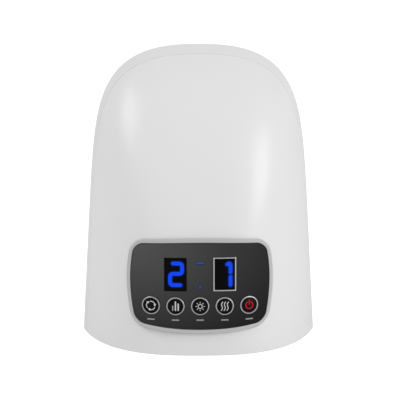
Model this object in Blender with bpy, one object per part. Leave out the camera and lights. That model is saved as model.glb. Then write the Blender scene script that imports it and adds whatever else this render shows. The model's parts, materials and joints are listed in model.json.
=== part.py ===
# Heated knee massager. A half-shell hood stands on its wide, open base with its control
# panel in front. The bent knee goes into the padded tub: the thigh enters at the base and
# the shin leaves through the open rear. Everything is in metres, +Z up, and the panel
# looks along -Y.
import math

import bmesh
import bpy
from mathutils import Matrix, Vector

for old_object in list(bpy.data.objects):
    bpy.data.objects.remove(old_object, do_unlink=True)

# Overall sizes of the hood
HOOD_WIDTH = 0.185
HOOD_HEIGHT = 0.2295
HOOD_DEPTH = 0.084
COVER_WALL = 0.0026
FIT_GAP = 0.0003

# Overall form of the hood and tub, as shares and powers of a rounded arch
LEAN_SHARE = 0.139
FRONT_TAPER_SHARE = 0.21
CROWN_POWER = 8.65
SIDE_POWER = 2.56
FRONT_POWER = 2.76

# Knee tub, given by the bays that are left between it and the hood
SIDE_BAY = 0.020
TOP_BAY = 0.052
FRONT_BAY = 0.0265
TUB_WALL = 0.0022
FLANGE_WALL = 0.003
EDGE_ROUND = 0.002
SOFT_EDGE_SHARE = 0.3

# Joint between the front and rear covers
PARTING_REACH = 0.012
LIP_LENGTH = 0.0024
LIP_WALL = 0.001

# Base cover
BASE_THICKNESS = 0.0025
BASE_EDGE_GAP = 0.0005

# Screws and the bosses that they hold in
BOSS_RADIUS = 0.0034
BOSS_SINK = 0.001
BASE_BOSS_LENGTH = 0.010
BOSS_FLOOR = 0.0015
SCREW_RADIUS = 0.0012
SCREW_HEAD_RADIUS = 0.0024
SCREW_HEAD_HEIGHT = 0.0014
SCREW_LENGTH = 0.008
SCREW_SOCKET_RADIUS = 0.0009
SCREW_SOCKET_DEPTH = 0.0007
BASE_SCREW_SHARE = 0.9
LOW_SCREW_HEIGHT_SHARE = 0.08
TOP_SCREW_HEIGHT_SHARE = 0.862
TOP_SCREW_ACROSS_SHARE = 0.55

# Rubber feet: two long strips on the rear flange
FOOT_RADIUS = 0.004
FOOT_PROUD = 0.0015
FOOT_SEAT = 0.001
FOOT_LOW_SHARE = 0.16
FOOT_HIGH_SHARE = 0.56

# Control panel: its frame of reference and the outline of its glass
PANEL_HEIGHT_SHARE = 0.2375
PANEL_TILT = math.radians(3.5)
PANEL_PROUD = 0.0015
GLASS_HALF_WIDTH = 0.0528
GLASS_TOP = 0.0315
GLASS_BOTTOM = 0.0284
GLASS_TOP_ROUND = 0.0069
GLASS_BOTTOM_ROUND = 0.0066
GLASS_TOP_BOW = 0.0016
GLASS_BOTTOM_BOW = 0.0047
GLASS_WIDEST = 0.0047
GLASS_TOP_NARROW_SHARE = 0.059
GLASS_BOTTOM_NARROW_SHARE = 0.074

# Panel bezel
BEZEL_WIDTH = 0.0031
BEZEL_PROUD = 0.0008
BEZEL_CHAMFER = 0.0007
BEZEL_SKIRT_GAP = 0.0006
COLLAR_WALL = 0.0015
COLLAR_PAST_WALL = 0.0015
PANEL_FLOOR = 0.0012
FLOOR_ROOT = 0.0007
LENS_THICKNESS = 0.002

# Keys, their rings and the rubber key mat under them
KEY_PITCH = 0.0187
KEY_ROW = -0.0153
KEY_RADIUS = 0.00585
KEY_PROUD = 0.0003
KEY_EDGE = 0.0003
KEY_TRAVEL = 0.0008
KEY_FLANGE = 0.0008
KEY_FLANGE_THICKNESS = 0.0008
KEY_STEM = 0.0006
KEY_STEM_RADIUS = 0.0015
RING_WIDTH = 0.0006
RING_PROUD = 0.0002
RING_STRIP_WIDTH = 0.0022
RING_STRIP_THICKNESS = 0.0006
MAT_THICKNESS = 0.001
MAT_MARGIN = 0.0008
DOME_HEIGHT = 0.0034
DOME_RADIUS = 0.0048
DOME_TOP_RADIUS = 0.0026
DOME_HOLLOW_RADIUS = 0.0026
DOME_SPARE_DEPTH = 0.0014

# Digit windows and indicator lights
WINDOW_HALF_WIDTH = 0.0083
WINDOW_HALF_HEIGHT = 0.01255
WINDOW_ROW = 0.0091
WINDOW_RECESS = 0.0003
FRAME_WIDTH = 0.0008
FRAME_PROUD = 0.0002
DOT_RADIUS = 0.00105
DOT_ROW = -0.00085
DASH_HALF_WIDTH = 0.003
DASH_HALF_HEIGHT = 0.0007
DASH_ROW = 0.0177
GUIDE_BAR_HALF_WIDTH = 0.001
GUIDE_BAR_THICKNESS = 0.0015

# Display board
BOARD_THICKNESS = 0.0016
DISPLAY_BOARD_HALF_WIDTH = 0.0445
DISPLAY_BOARD_HALF_HEIGHT = 0.0245
BOARD_CORNER = 0.002
POST_RADIUS = 0.0021
POST_PILOT_DEPTH = 0.004
TOP_POST_INSET = 0.005
TOP_POST_DROP = 0.0055
BOARD_SCREW_RADIUS = 0.0009
BOARD_SCREW_HEAD_RADIUS = 0.0018
BOARD_SCREW_HEAD_HEIGHT = 0.0011
BOARD_SCREW_LENGTH = 0.0045

# Battery, its holder and the control board in front of it
CELL_RADIUS = 0.00915
CELL_LENGTH = 0.065
CELL_CAP_RADIUS = 0.003
CELL_CAP_HEIGHT = 0.0008
CELL_SPACING_GAP = 0.0006
CELL_REACH_GAP = 0.0006
HOLDER_WALL = 0.0016
HOLDER_PLATE_DROP = 0.003
HOLDER_POST = 0.003
PEG_RADIUS = 0.001
PEG_PROUD = 0.001
CONTROL_BOARD_HALF_WIDTH = 0.032
CONTROL_BOARD_HEIGHT = 0.030
CONTROL_BOARD_DROP = 0.012
CONTROL_POST_INSET = 0.004
CHIP_WIDTH = 0.010
CHIP_THICKNESS = 0.0016
CAPACITOR_RADIUS = 0.0025
CAPACITOR_HEIGHT = 0.005

# Charging socket in the rear flange
SOCKET_ACROSS_SHARE = 0.62
SOCKET_HEIGHT_SHARE = 0.765
SOCKET_HALF_WIDTH = 0.00445
SOCKET_HALF_HEIGHT = 0.0016
SOCKET_LENGTH = 0.0075
SOCKET_SKIN = 0.0003
SOCKET_RECESS = 0.0006
SOCKET_EAR = 0.0015
SOCKET_TONGUE_HALF = 0.0003

# Air pump
PUMP_HEIGHT_SHARE = 0.84
PUMP_CLEAR = 0.0006
PUMP_MOTOR_RADIUS = 0.012
PUMP_MOTOR_LENGTH = 0.028
PUMP_HEAD_RADIUS = 0.013
PUMP_HEAD_LENGTH = 0.020
PUMP_HEAD_WALL = 0.0018
PUMP_SHAFT_RADIUS = 0.001
PUMP_SHAFT_SEAT = 0.006
ECCENTRIC_RADIUS = 0.006
ECCENTRIC_OFFSET = 0.0025
ECCENTRIC_THICKNESS = 0.004
SPIGOT_RADIUS = 0.0018
SPIGOT_LENGTH = 0.005
BRACKET_WIDTH = 0.016
BRACKET_BAND = 0.0014
BRACKET_BAND_WIDTH = 0.008
BRACKET_HALF_HEIGHT = 0.009

# Exhaust valve and the manifold under it
MANIFOLD_WIDTH = 0.015
MANIFOLD_HEIGHT = 0.016
MANIFOLD_WALL = 0.0015
VALVE_RADIUS = 0.006
VALVE_LENGTH = 0.015
VALVE_WALL = 0.0015
VALVE_TRAVEL = 0.0015
PLUNGER_STEM_RADIUS = 0.0015
PLUNGER_HEAD_RADIUS = 0.0035
PLUNGER_HEAD_THICKNESS = 0.002

# Air hoses
HOSE_RADIUS = 0.0022
HOSE_ENTRY_SHARE = 0.405
HOSE_ENTRY_REACH_SHARE = 0.365
HOSE_ELBOW_SHARE = 0.9
HOSE_SIDE_SHARES = (0.76, 0.93, 0.95)
HOSE_CROSSING_SHARES = (0.3, 0, -0.3, -0.56)

# Vibration motor
VIBRATION_RISE_SHARE = 0.55
VIBRATION_RADIUS = 0.010
VIBRATION_LENGTH = 0.024
VIBRATION_CLEAR = 0.0006
WEIGHT_RADIUS = 0.0085
WEIGHT_HUB_RADIUS = 0.003
WEIGHT_THICKNESS = 0.005
WEIGHT_GAP = 0.001
WEIGHT_SHAFT_RADIUS = 0.001
WEIGHT_SHAFT_SEAT = 0.005

# Knee side: liner, film, light board and front pad
LAYER_GAP = 0.0006
LINER_EDGE = 0.004
LINER_THICKNESS = 0.0015
FILM_THICKNESS = 0.0005
LIGHT_BOARD_THICKNESS = 0.0008
FRONT_PAD_THICKNESS = 0.007
FRONT_PAD_HALF_WIDTH = 0.033
FRONT_PAD_LOW = 0.020
FRONT_PAD_HIGH_SHARE = 0.625
FRONT_PAD_CORNER = 0.014
FILM_MARGIN = 0.004
LAMP_RADIUS = 0.0045
LAMP_PROUD = 0.0012
LAMP_COLUMN_SHARES = (-0.47, 0.47)
LAMP_ROW_SHARES = (0.215, 0.5, 0.785)
LENS_SHEET_THICKNESS = 0.0008
SENSOR_HALF_WIDTH = 0.003
SENSOR_HALF_HEIGHT = 0.0015
SENSOR_THICKNESS = 0.001

# Side air bags and cushions
CUSHION_REAR = 0.006
CUSHION_FRONT_SHARE = 0.548
CUSHION_LOW = 0.014
CUSHION_HIGH_SHARE = 0.63
CUSHION_CORNER_SHARE = 0.39
CUSHION_THICKNESS = 0.013
CUSHION_WAIST_SHARE = 0.063
CUSHION_EDGE_SHARE = 0.42
CHANNEL_SHARES = (0.25, 0.5, 0.75)
CHANNEL_WIDTH_SHARE = 0.022
CHANNEL_DEPTH_SHARE = 0.34
BAG_THICKNESS = 0.0035
BAG_MARGIN = 0.004

# Leads between the boards
LEAD_RADIUS = 0.0013
LEAD_START_SHARE = 0.75
LEAD_PLUG_SHARE = 0.85
LEAD_REACH_SHARE = 0.95
LEAD_SPREAD_SHARE = 1.08

# How finely curves are divided
STATIONS = 24
FINE_STEPS = 400
SKIN_ROWS = 8
ROUND_SEGMENTS = 18
KEY_SEGMENTS = 16
SMALL_SEGMENTS = 10
SCREW_SEGMENTS = 8
CORNER_STEPS = 4
EDGE_STEPS = 8
SLAB_STEPS = 13
WINDOW_STEPS = 5
SEARCH_STEPS = 40
FACING_STEPS = 24
OVERRUN = 0.002


# Helpers: materials, objects and cuts
def finish(name, colour, roughness, metallic=0.0):
    """A plain Principled material."""
    material = bpy.data.materials.new(name)
    material.use_nodes = True
    shader = material.node_tree.nodes["Principled BSDF"]
    shader.inputs["Base Color"].default_value = (*colour, 1.0)
    shader.inputs["Roughness"].default_value = roughness
    shader.inputs["Metallic"].default_value = metallic
    return material


def body(name, mesh_builder, material, origin=None, smooth=True):
    """An object of its own from a bmesh, with its origin where it turns or slides."""
    bmesh.ops.recalc_face_normals(mesh_builder, faces=mesh_builder.faces)
    origin = origin or Vector((0, 0, 0))
    bmesh.ops.translate(mesh_builder, verts=mesh_builder.verts, vec=-origin)
    mesh = bpy.data.meshes.new(name)
    mesh_builder.to_mesh(mesh)
    mesh_builder.free()
    mesh.materials.append(material)
    if smooth:
        mesh.shade_smooth()
        mesh.set_sharp_from_angle(angle=SHARP_ANGLE)
    made = bpy.data.objects.new(name, mesh)
    bpy.context.collection.objects.link(made)
    made.parent = massager
    made.location = origin
    return made


def tool(name, mesh_builder):
    """A hidden shape that cuts, trims or joins others."""
    made = body(name, mesh_builder, hidden_finish, smooth=False)
    made.hide_render = True
    made.display_type = "WIRE"
    return made


def combine(target, shape, operation):
    """A Boolean of a hidden shape on an object."""
    modifier = target.modifiers.new(operation.title(), "BOOLEAN")
    modifier.operation = operation
    modifier.object = shape
    modifier.solver = "EXACT"


SHARP_ANGLE = math.radians(35)
hidden_finish = finish("hidden", (0.5, 0.5, 0.5), 0.5)


# Helpers: the rounded arch that the hood and the tub share
def arch_taper(height_share):
    """Half width of the arch at a height, as a share of its half width at the base."""
    lean = 1 - LEAN_SHARE * height_share
    return lean * max(0, 1 - height_share ** CROWN_POWER) ** (1 / SIDE_POWER)


def arch_scale(reach_share):
    """How far the arch has shrunk at a distance in front of the rear plane."""
    narrowing = 1 - FRONT_TAPER_SHARE * reach_share
    return narrowing * max(0, 1 - reach_share ** FRONT_POWER) ** (1 / FRONT_POWER)


def evenly_spaced(points, count):
    """Points along a quarter arch, at equal steps of its length and its turning together."""
    total = sum(math.dist(start, end) for start, end in zip(points, points[1:]))
    lengths = [0]
    heading = None
    for start, end in zip(points, points[1:]):
        previous = heading
        heading = math.atan2(end[1] - start[1], end[0] - start[0])
        turned = abs(heading - previous) if previous is not None else 0
        step = math.dist(start, end) / total + turned / (math.pi / 2)
        lengths.append(lengths[-1] + step)
    spaced = []
    segment = 0
    for step in range(count + 1):
        wanted = lengths[-1] * step / count
        while segment < len(points) - 2 and lengths[segment + 1] < wanted:
            segment += 1
        run = lengths[segment + 1] - lengths[segment]
        share = (wanted - lengths[segment]) / run
        pairs = zip(points[segment], points[segment + 1])
        spaced.append(tuple(a + (b - a) * share for a, b in pairs))
    return spaced


def arch_stations():
    """Stations from the right foot over the top to the left foot, as shares."""
    fine = []
    for step in range(FINE_STEPS + 1):
        rise = math.sin(math.pi / 2 * step / FINE_STEPS) ** (2 / CROWN_POWER)
        fine.append((HOOD_WIDTH / 2 * arch_taper(rise), HOOD_HEIGHT * rise))
    side = evenly_spaced(fine, STATIONS // 2)
    shares = [(across / (HOOD_WIDTH / 2), up / HOOD_HEIGHT) for across, up in side]
    return shares + [(-across, up) for across, up in reversed(shares[:-1])]


ARCH_STATIONS = arch_stations()


def inset(form, amount):
    """The same arch form made smaller all round by a wall, a gap or both."""
    return tuple(size - amount for size in form)


def arch_row(form, reach):
    """One arch of the form at a distance in front of the rear plane."""
    half_width, height, depth = form
    scale = arch_scale(min(1, reach / depth))
    return [Vector((across * half_width * scale, -reach, up * height * scale))
            for across, up in ARCH_STATIONS]


def arch_pole(form):
    """The single point where the arches close, at the front of the base."""
    return [Vector((0, -form[2], 0))]


def arch_skin(form, first_reach, rows=SKIN_ROWS):
    """Arches from a first reach forward to the pole."""
    half_width, _, depth = form
    start = math.asin((first_reach / depth) ** (FRONT_POWER / 2))
    fine = []
    for step in range(FINE_STEPS + 1):
        angle = start + (math.pi / 2 - start) * step / FINE_STEPS
        reach_share = math.sin(angle) ** (2 / FRONT_POWER)
        fine.append((depth * reach_share, half_width * arch_scale(reach_share)))
    reaches = [point[0] for point in evenly_spaced(fine, rows)]
    return [arch_row(form, reach) for reach in reaches[:-1]] + [arch_pole(form)]


def half_width_at(form, reach, height):
    """Half width of the form at a reach and a height, or zero outside it."""
    half_width, top, depth = form
    scale = arch_scale(min(1, max(0, reach / depth)))
    if scale <= 0 or height >= top * scale:
        return 0
    return half_width * scale * arch_taper(max(0, height) / (top * scale))


def reach_at(form, across, height):
    """How far the form's skin stands in front of the rear plane, or zero outside it."""
    low, high = 0, form[2]
    for _ in range(SEARCH_STEPS):
        middle = (low + high) / 2
        if half_width_at(form, middle, height) > abs(across):
            low = middle
        else:
            high = middle
    return low


def resting_reach(form, height, radius):
    """How far out a round body lying across must be to touch the form's front slope."""
    touches = []
    for step in range(FACING_STEPS + 1):
        angle = math.pi * (step / FACING_STEPS - 1 / 2)
        level = height + radius * math.sin(angle)
        touches.append(reach_at(form, 0, level) + radius * math.cos(angle))
    return max(touches)


def loft(rows):
    """A closed body from a closed loop of arches, in which a pole has one point."""
    builder = bmesh.new()
    loops = [[builder.verts.new(point) for point in row] for row in rows]
    for first, second in zip(loops, loops[1:] + loops[:1]):
        for station in range(STATIONS):
            corners = [first[min(station, len(first) - 1)],
                       first[min(station + 1, len(first) - 1)],
                       second[min(station + 1, len(second) - 1)],
                       second[min(station, len(second) - 1)]]
            corners = list(dict.fromkeys(corners))
            if len(corners) > 2:
                builder.faces.new(corners)
    for end in (0, -1):
        builder.faces.new(list(dict.fromkeys(loop[end] for loop in loops)))
    return builder


def arch_block(form, first_reach):
    """The solid that fills an arch form, divided like a skin that starts at a first reach."""
    rows = [arch_row(form, 0)] + arch_skin(form, first_reach)
    builder = bmesh.new()
    loops = [[builder.verts.new(point) for point in row] for row in rows]
    for first, second in zip(loops, loops[1:]):
        for station in range(STATIONS):
            corners = [first[station], first[station + 1],
                       second[min(station + 1, len(second) - 1)],
                       second[min(station, len(second) - 1)]]
            builder.faces.new(list(dict.fromkeys(corners)))
    builder.faces.new(loops[0])
    feet = [loop[0] for loop in loops] + [loop[-1] for loop in reversed(loops[:-1])]
    builder.faces.new(feet)
    return builder


# Helpers: turned, straight and tubular bodies
def add_turned(builder, profile, place, segments=ROUND_SEGMENTS, ring=False):
    """A body turned about local Z from (radius, height) points, or a ring of them."""
    loops = []
    for radius, height in profile:
        count = segments if radius > 0 else 1
        loop = []
        for step in range(count):
            angle = 2 * math.pi * step / segments
            point = Vector((radius * math.cos(angle), radius * math.sin(angle), height))
            loop.append(builder.verts.new(place @ point))
        loops.append(loop)
    pairs = list(zip(loops, loops[1:]))
    if ring:
        pairs.append((loops[-1], loops[0]))
    join_loops(builder, pairs)


def join_loops(builder, pairs):
    """Faces between pairs of closed loops, one of which may be a single point."""
    for first, second in pairs:
        count = max(len(first), len(second))
        for step in range(count):
            corners = [first[step % len(first)], first[(step + 1) % len(first)],
                       second[(step + 1) % len(second)], second[step % len(second)]]
            corners = list(dict.fromkeys(corners))
            if len(corners) > 2:
                builder.faces.new(corners)


def add_rod(builder, start, end, radius, segments=SMALL_SEGMENTS):
    """A plain round rod between two points."""
    length = (end - start).length
    add_turned(builder, [(0, 0), (radius, 0), (radius, length), (0, length)],
               along(start, end), segments)


def along(start, end):
    """A frame at a start point whose Z runs towards an end point."""
    turn = (end - start).to_track_quat("Z", "Y").to_matrix().to_4x4()
    return Matrix.Translation(start) @ turn


def add_box(builder, low, high, place=Matrix.Identity(4)):
    """A plain box between two corners."""
    outline = [(low[0], low[1]), (high[0], low[1]), (high[0], high[1]), (low[0], high[1])]
    add_prism(builder, outline, low[2], high[2], place)


def add_prism(builder, outline, low, high, place=Matrix.Identity(4)):
    """An outline in local X and Y made solid between two heights."""
    bottom = [builder.verts.new(place @ Vector((x, y, low))) for x, y in outline]
    top = [builder.verts.new(place @ Vector((x, y, high))) for x, y in outline]
    join_loops(builder, [(bottom, top)])
    builder.faces.new(bottom)
    builder.faces.new(top)


def rounded_box_outline(half_width, low, high, corner, low_corner=None,
                        corner_steps=CORNER_STEPS, edge_steps=EDGE_STEPS):
    """A rectangle with round corners and divided edges, from its lower right corner."""
    low_corner = corner if low_corner is None else low_corner
    centres = [(half_width - low_corner, low + low_corner, low_corner, -90),
               (half_width - corner, high - corner, corner, 0),
               (-half_width + corner, high - corner, corner, 90),
               (-half_width + low_corner, low + low_corner, low_corner, 180)]
    outline = []
    for number, (x, y, radius, start) in enumerate(centres):
        for step in range(corner_steps + 1):
            angle = math.radians(start + 90 * step / corner_steps)
            outline.append((x + radius * math.cos(angle), y + radius * math.sin(angle)))
        next_x, next_y, next_radius, next_start = centres[(number + 1) % 4]
        angle = math.radians(next_start)
        goal = (next_x + next_radius * math.cos(angle), next_y + next_radius * math.sin(angle))
        here = outline[-1]
        steps = edge_steps if number in (1, 3) else edge_steps // 3
        for step in range(1, steps):
            share = step / steps
            outline.append(tuple(a + (b - a) * share for a, b in zip(here, goal)))
    return outline


def smooth_route(points, per_span):
    """A smooth curve through chosen points, as many closer ones."""
    ends = [points[0] * 2 - points[1]] + points + [points[-1] * 2 - points[-2]]
    route = []
    for before, start, end, after in zip(ends, ends[1:], ends[2:], ends[3:]):
        for step in range(per_span):
            t = step / per_span
            route.append(0.5 * (2 * start + (end - before) * t
                                + (2 * before - 5 * start + 4 * end - after) * t * t
                                + (3 * start - before - 3 * end + after) * t * t * t))
    return route + [points[-1]]


def tube(name, points, radius, material, per_span=3):
    """A tube along a smooth route, with filled ends."""
    route = smooth_route(points, per_span)
    curve = bpy.data.curves.new(name, "CURVE")
    curve.dimensions = "3D"
    curve.bevel_depth = radius
    curve.bevel_resolution = 1
    curve.use_fill_caps = True
    spline = curve.splines.new("POLY")
    spline.points.add(len(route) - 1)
    for point, place in zip(spline.points, route):
        point.co = (*place, 1)
    curve.materials.append(material)
    made = bpy.data.objects.new(name, curve)
    bpy.context.collection.objects.link(made)
    made.parent = massager
    return made


# Helpers: the panel's frame, in which u runs across, v up and d out of the glass
def glass_drop(across):
    """How far the glass falls back beside its middle, bent as the hood is at that height."""
    return reach_at(HOOD_OUT, across, PANEL_HEIGHT) - reach_at(HOOD_OUT, 0, PANEL_HEIGHT)


def glass_outline(offset):
    """The outline of the glass, made larger all round by an offset."""
    plain = rounded_box_outline(GLASS_HALF_WIDTH + offset, -GLASS_BOTTOM - offset,
                                GLASS_TOP + offset, GLASS_TOP_ROUND + offset,
                                GLASS_BOTTOM_ROUND + offset)
    outline = []
    for across, up in plain:
        arched = 1 - (across / (GLASS_HALF_WIDTH + offset)) ** 2
        bow = GLASS_TOP_BOW * up / GLASS_TOP if up > 0 else GLASS_BOTTOM_BOW * up / GLASS_BOTTOM
        raised = up + bow * arched
        from_widest = raised - GLASS_WIDEST
        if from_widest > 0:
            narrow = GLASS_TOP_NARROW_SHARE * (from_widest / (GLASS_TOP - GLASS_WIDEST)) ** 2
        else:
            narrow = GLASS_BOTTOM_NARROW_SHARE * (from_widest / (GLASS_BOTTOM + GLASS_WIDEST)) ** 2
        outline.append((across * (1 - narrow), raised))
    return outline


def skin_depth(form, across, up):
    """Where the line of sight along the panel's axis meets a form, as d."""
    depth = 0
    for _ in range(SEARCH_STEPS):
        height = PANEL_HEIGHT + up * math.cos(PANEL_TILT) + depth * math.sin(PANEL_TILT)
        reach = reach_at(form, across, height)
        depth = (reach - PANEL_REACH + up * math.sin(PANEL_TILT)) / math.cos(PANEL_TILT)
    return depth


def add_panel_ring(builder, loops):
    """A ring-shaped body from a closed loop of closed loops of (u, v, d) points."""
    made = [[builder.verts.new(PANEL @ Vector(point)) for point in loop] for loop in loops]
    join_loops(builder, list(zip(made, made[1:] + made[:1])))


def add_panel_turned(builder, across, up, profile, ring=False, segments=ROUND_SEGMENTS):
    """A round body along the panel's axis from (radius, depth, follows the glass) points."""
    loops = []
    for radius, depth, follows in profile:
        loop = []
        for step in range(segments if radius > 0 else 1):
            angle = 2 * math.pi * step / segments
            u = across + radius * math.cos(angle)
            v = up + radius * math.sin(angle)
            d = depth + (glass_drop(u) if follows else 0)
            loop.append(builder.verts.new(PANEL @ Vector((u, v, d))))
        loops.append(loop)
    pairs = list(zip(loops, loops[1:]))
    if ring:
        pairs.append((loops[-1], loops[0]))
    join_loops(builder, pairs)


def add_panel_slab(builder, left, right, low, high, front, back, back_follows,
                   steps=WINDOW_STEPS):
    """A block whose front, and back if asked, follows the curve of the glass."""
    rows = []
    for up in (low, high):
        fronts = []
        backs = []
        for step in range(steps + 1):
            across = left + (right - left) * step / steps
            drop = glass_drop(across)
            fronts.append(builder.verts.new(PANEL @ Vector((across, up, front + drop))))
            depth = back + (drop if back_follows else 0)
            backs.append(builder.verts.new(PANEL @ Vector((across, up, depth))))
        rows.append(fronts + backs[::-1])
    join_loops(builder, [(rows[0], rows[1])])
    builder.faces.new(rows[0])
    builder.faces.new(rows[1])


# Forms and places that follow from the sizes
HOOD_OUT = (HOOD_WIDTH / 2, HOOD_HEIGHT, HOOD_DEPTH)
HOOD_IN = inset(HOOD_OUT, COVER_WALL)
TUB_OUT = (HOOD_OUT[0] - SIDE_BAY, HOOD_OUT[1] - TOP_BAY, HOOD_OUT[2] - FRONT_BAY)
TUB_IN = inset(TUB_OUT, TUB_WALL)
PANEL_HEIGHT = HOOD_HEIGHT * PANEL_HEIGHT_SHARE
PANEL_REACH = reach_at(HOOD_OUT, 0, PANEL_HEIGHT) + PANEL_PROUD
PANEL = Matrix(((1, 0, 0, 0),
                (0, math.sin(PANEL_TILT), -math.cos(PANEL_TILT), -PANEL_REACH),
                (0, math.cos(PANEL_TILT), math.sin(PANEL_TILT), PANEL_HEIGHT),
                (0, 0, 0, 1)))
KEY_PLACES = [KEY_PITCH * step for step in (-2, -1, 0, 1, 2)]
KEY_FLANGE_RADIUS = KEY_RADIUS + KEY_FLANGE
STRIP_FRONT = -LENS_THICKNESS - FIT_GAP
FLOOR_FRONT = STRIP_FRONT - RING_STRIP_THICKNESS - FIT_GAP
FLOOR_BACK = FLOOR_FRONT - PANEL_FLOOR


def key_flange_top(across):
    """Depth of a key's flange, just behind the deepest point of the floor above it."""
    return glass_drop(abs(across) + KEY_FLANGE_RADIUS) + FLOOR_BACK - FIT_GAP


KEY_FOOT = key_flange_top(KEY_PLACES[-1]) - KEY_FLANGE_THICKNESS - KEY_STEM
DOME_TOP = KEY_FOOT - FIT_GAP
BOARD_FRONT = DOME_TOP - DOME_HEIGHT - FIT_GAP
BOARD_BACK = BOARD_FRONT - BOARD_THICKNESS
PUMP_HEIGHT = TUB_OUT[1] * PUMP_HEIGHT_SHARE
BOARD_TOP = PANEL_HEIGHT + DISPLAY_BOARD_HALF_HEIGHT
VIBRATION_HEIGHT = BOARD_TOP + (PUMP_HEIGHT - PUMP_HEAD_RADIUS - BOARD_TOP) * VIBRATION_RISE_SHARE
HOSE_ENTRY_HEIGHT = TUB_OUT[1] * HOSE_ENTRY_SHARE
HOSE_ENTRY_REACH = TUB_OUT[2] * HOSE_ENTRY_REACH_SHARE
FRONT_PAD_HIGH = TUB_OUT[1] * FRONT_PAD_HIGH_SHARE
CUSHION_HIGH = TUB_OUT[1] * CUSHION_HIGH_SHARE
CUSHION_FRONT = TUB_OUT[2] * CUSHION_FRONT_SHARE
CUSHION_CORNER = (CUSHION_FRONT - CUSHION_REAR) * CUSHION_CORNER_SHARE
CUSHION_WAIST = (CUSHION_FRONT - CUSHION_REAR) * CUSHION_WAIST_SHARE

bezel_foot = GLASS_BOTTOM + GLASS_BOTTOM_BOW + BEZEL_WIDTH
front_reach = (PANEL_REACH + (bezel_foot - BEZEL_CHAMFER) * math.sin(PANEL_TILT)
               + BEZEL_PROUD * math.cos(PANEL_TILT))
massager = bpy.data.objects.new("massager", None)
massager.location = (0, (front_reach - FOOT_PROUD) / 2, 0)
bpy.context.collection.objects.link(massager)

# Finishes
white_gloss = finish("white_gloss", (0.80, 0.80, 0.80), 0.22)
white_satin = finish("white_satin", (0.74, 0.74, 0.74), 0.42)
bezel_grey = finish("bezel_grey", (0.56, 0.57, 0.58), 0.35)
smoked_lens = finish("smoked_lens", (0.03, 0.03, 0.033), 0.12)
key_black = finish("key_black", (0.012, 0.012, 0.013), 0.25)
silver = finish("silver", (0.82, 0.83, 0.84), 0.25, 0.9)
display_black = finish("display_black", (0.01, 0.01, 0.012), 0.3)
indicator_blue = finish("indicator_blue", (0.02, 0.10, 0.75), 0.3)
board_green = finish("board_green", (0.03, 0.20, 0.09), 0.5)
dark_plastic = finish("dark_plastic", (0.05, 0.05, 0.055), 0.5)
steel = finish("steel", (0.60, 0.60, 0.62), 0.35, 0.95)
rubber_grey = finish("rubber_grey", (0.22, 0.22, 0.23), 0.8)
cell_wrap = finish("cell_wrap", (0.06, 0.22, 0.45), 0.4)
hose_clear = finish("hose_clear", (0.70, 0.71, 0.70), 0.4)
bag_film = finish("bag_film", (0.35, 0.37, 0.40), 0.5)
cushion_fabric = finish("cushion_fabric", (0.32, 0.33, 0.35), 0.9)
liner_fabric = finish("liner_fabric", (0.24, 0.25, 0.27), 0.9)
film_amber = finish("film_amber", (0.45, 0.24, 0.07), 0.4)
pad_silicone = finish("pad_silicone", (0.52, 0.53, 0.55), 0.6)
lamp_red = finish("lamp_red", (0.55, 0.03, 0.02), 0.2)
lead_black = finish("lead_black", (0.03, 0.03, 0.03), 0.6)


# Front cover: outer shell, cut for the panel, with bosses for both sets of screws
def rear_screw_places():
    """Where the rear screws stand in the flange, as (across, height)."""
    height = HOOD_HEIGHT * LOW_SCREW_HEIGHT_SHARE
    inner = half_width_at(TUB_OUT, FLANGE_WALL, height)
    outer = half_width_at(HOOD_IN, FLANGE_WALL, height)
    places = [((inner + outer) / 2, height)]
    top_height = HOOD_HEIGHT * TOP_SCREW_HEIGHT_SHARE
    places.append((HOOD_WIDTH / 2 * TOP_SCREW_ACROSS_SHARE, top_height))
    return [(side * across, height) for across, height in places for side in (1, -1)]


def base_screw_places():
    """Where the base screws stand, as (across, reach), beside the hood's inner skin."""
    form = inset(HOOD_IN, BOSS_RADIUS - BOSS_SINK)
    across = form[0] * arch_scale(BASE_SCREW_SHARE)
    return [(side * across, form[2] * BASE_SCREW_SHARE) for side in (1, -1)]


parting = PARTING_REACH + FIT_GAP
lip_end = PARTING_REACH + LIP_LENGTH + FIT_GAP
lip_form = inset(HOOD_OUT, LIP_WALL)
rows = arch_skin(HOOD_OUT, parting) + arch_skin(HOOD_IN, lip_end)[::-1]
rows += [arch_row(lip_form, lip_end), arch_row(lip_form, parting)]
front_cover = body("front_cover", loft(rows), white_gloss)

builder = bmesh.new()
for across, height in rear_screw_places():
    add_rod(builder, Vector((across, -FLANGE_WALL - FIT_GAP, height)),
            Vector((across, -HOOD_DEPTH, height)), BOSS_RADIUS)
rear_bosses = tool("rear_bosses", builder)
builder = bmesh.new()
for across, reach in base_screw_places():
    foot = BASE_THICKNESS + FIT_GAP
    add_rod(builder, Vector((across, -reach, foot)),
            Vector((across, -reach, foot + BASE_BOSS_LENGTH)), BOSS_RADIUS)
base_bosses = tool("base_bosses", builder)
hood_core = tool("hood_core", arch_block(inset(HOOD_OUT, COVER_WALL / 2), lip_end))
combine(rear_bosses, hood_core, "INTERSECT")
combine(base_bosses, hood_core, "INTERSECT")

rear_pilots = bmesh.new()
base_pilots = bmesh.new()
pilot = SCREW_RADIUS + FIT_GAP
pilot_end = SCREW_LENGTH + BOSS_FLOOR
for across, height in rear_screw_places():
    add_rod(rear_pilots, Vector((across, OVERRUN, height)),
            Vector((across, -pilot_end, height)), pilot, SCREW_SEGMENTS)
for across, reach in base_screw_places():
    add_rod(base_pilots, Vector((across, -reach, -OVERRUN)),
            Vector((across, -reach, pilot_end)), pilot, SCREW_SEGMENTS)
combine(rear_bosses, tool("rear_pilots", rear_pilots), "DIFFERENCE")
combine(base_bosses, tool("base_pilots", base_pilots), "DIFFERENCE")

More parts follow.
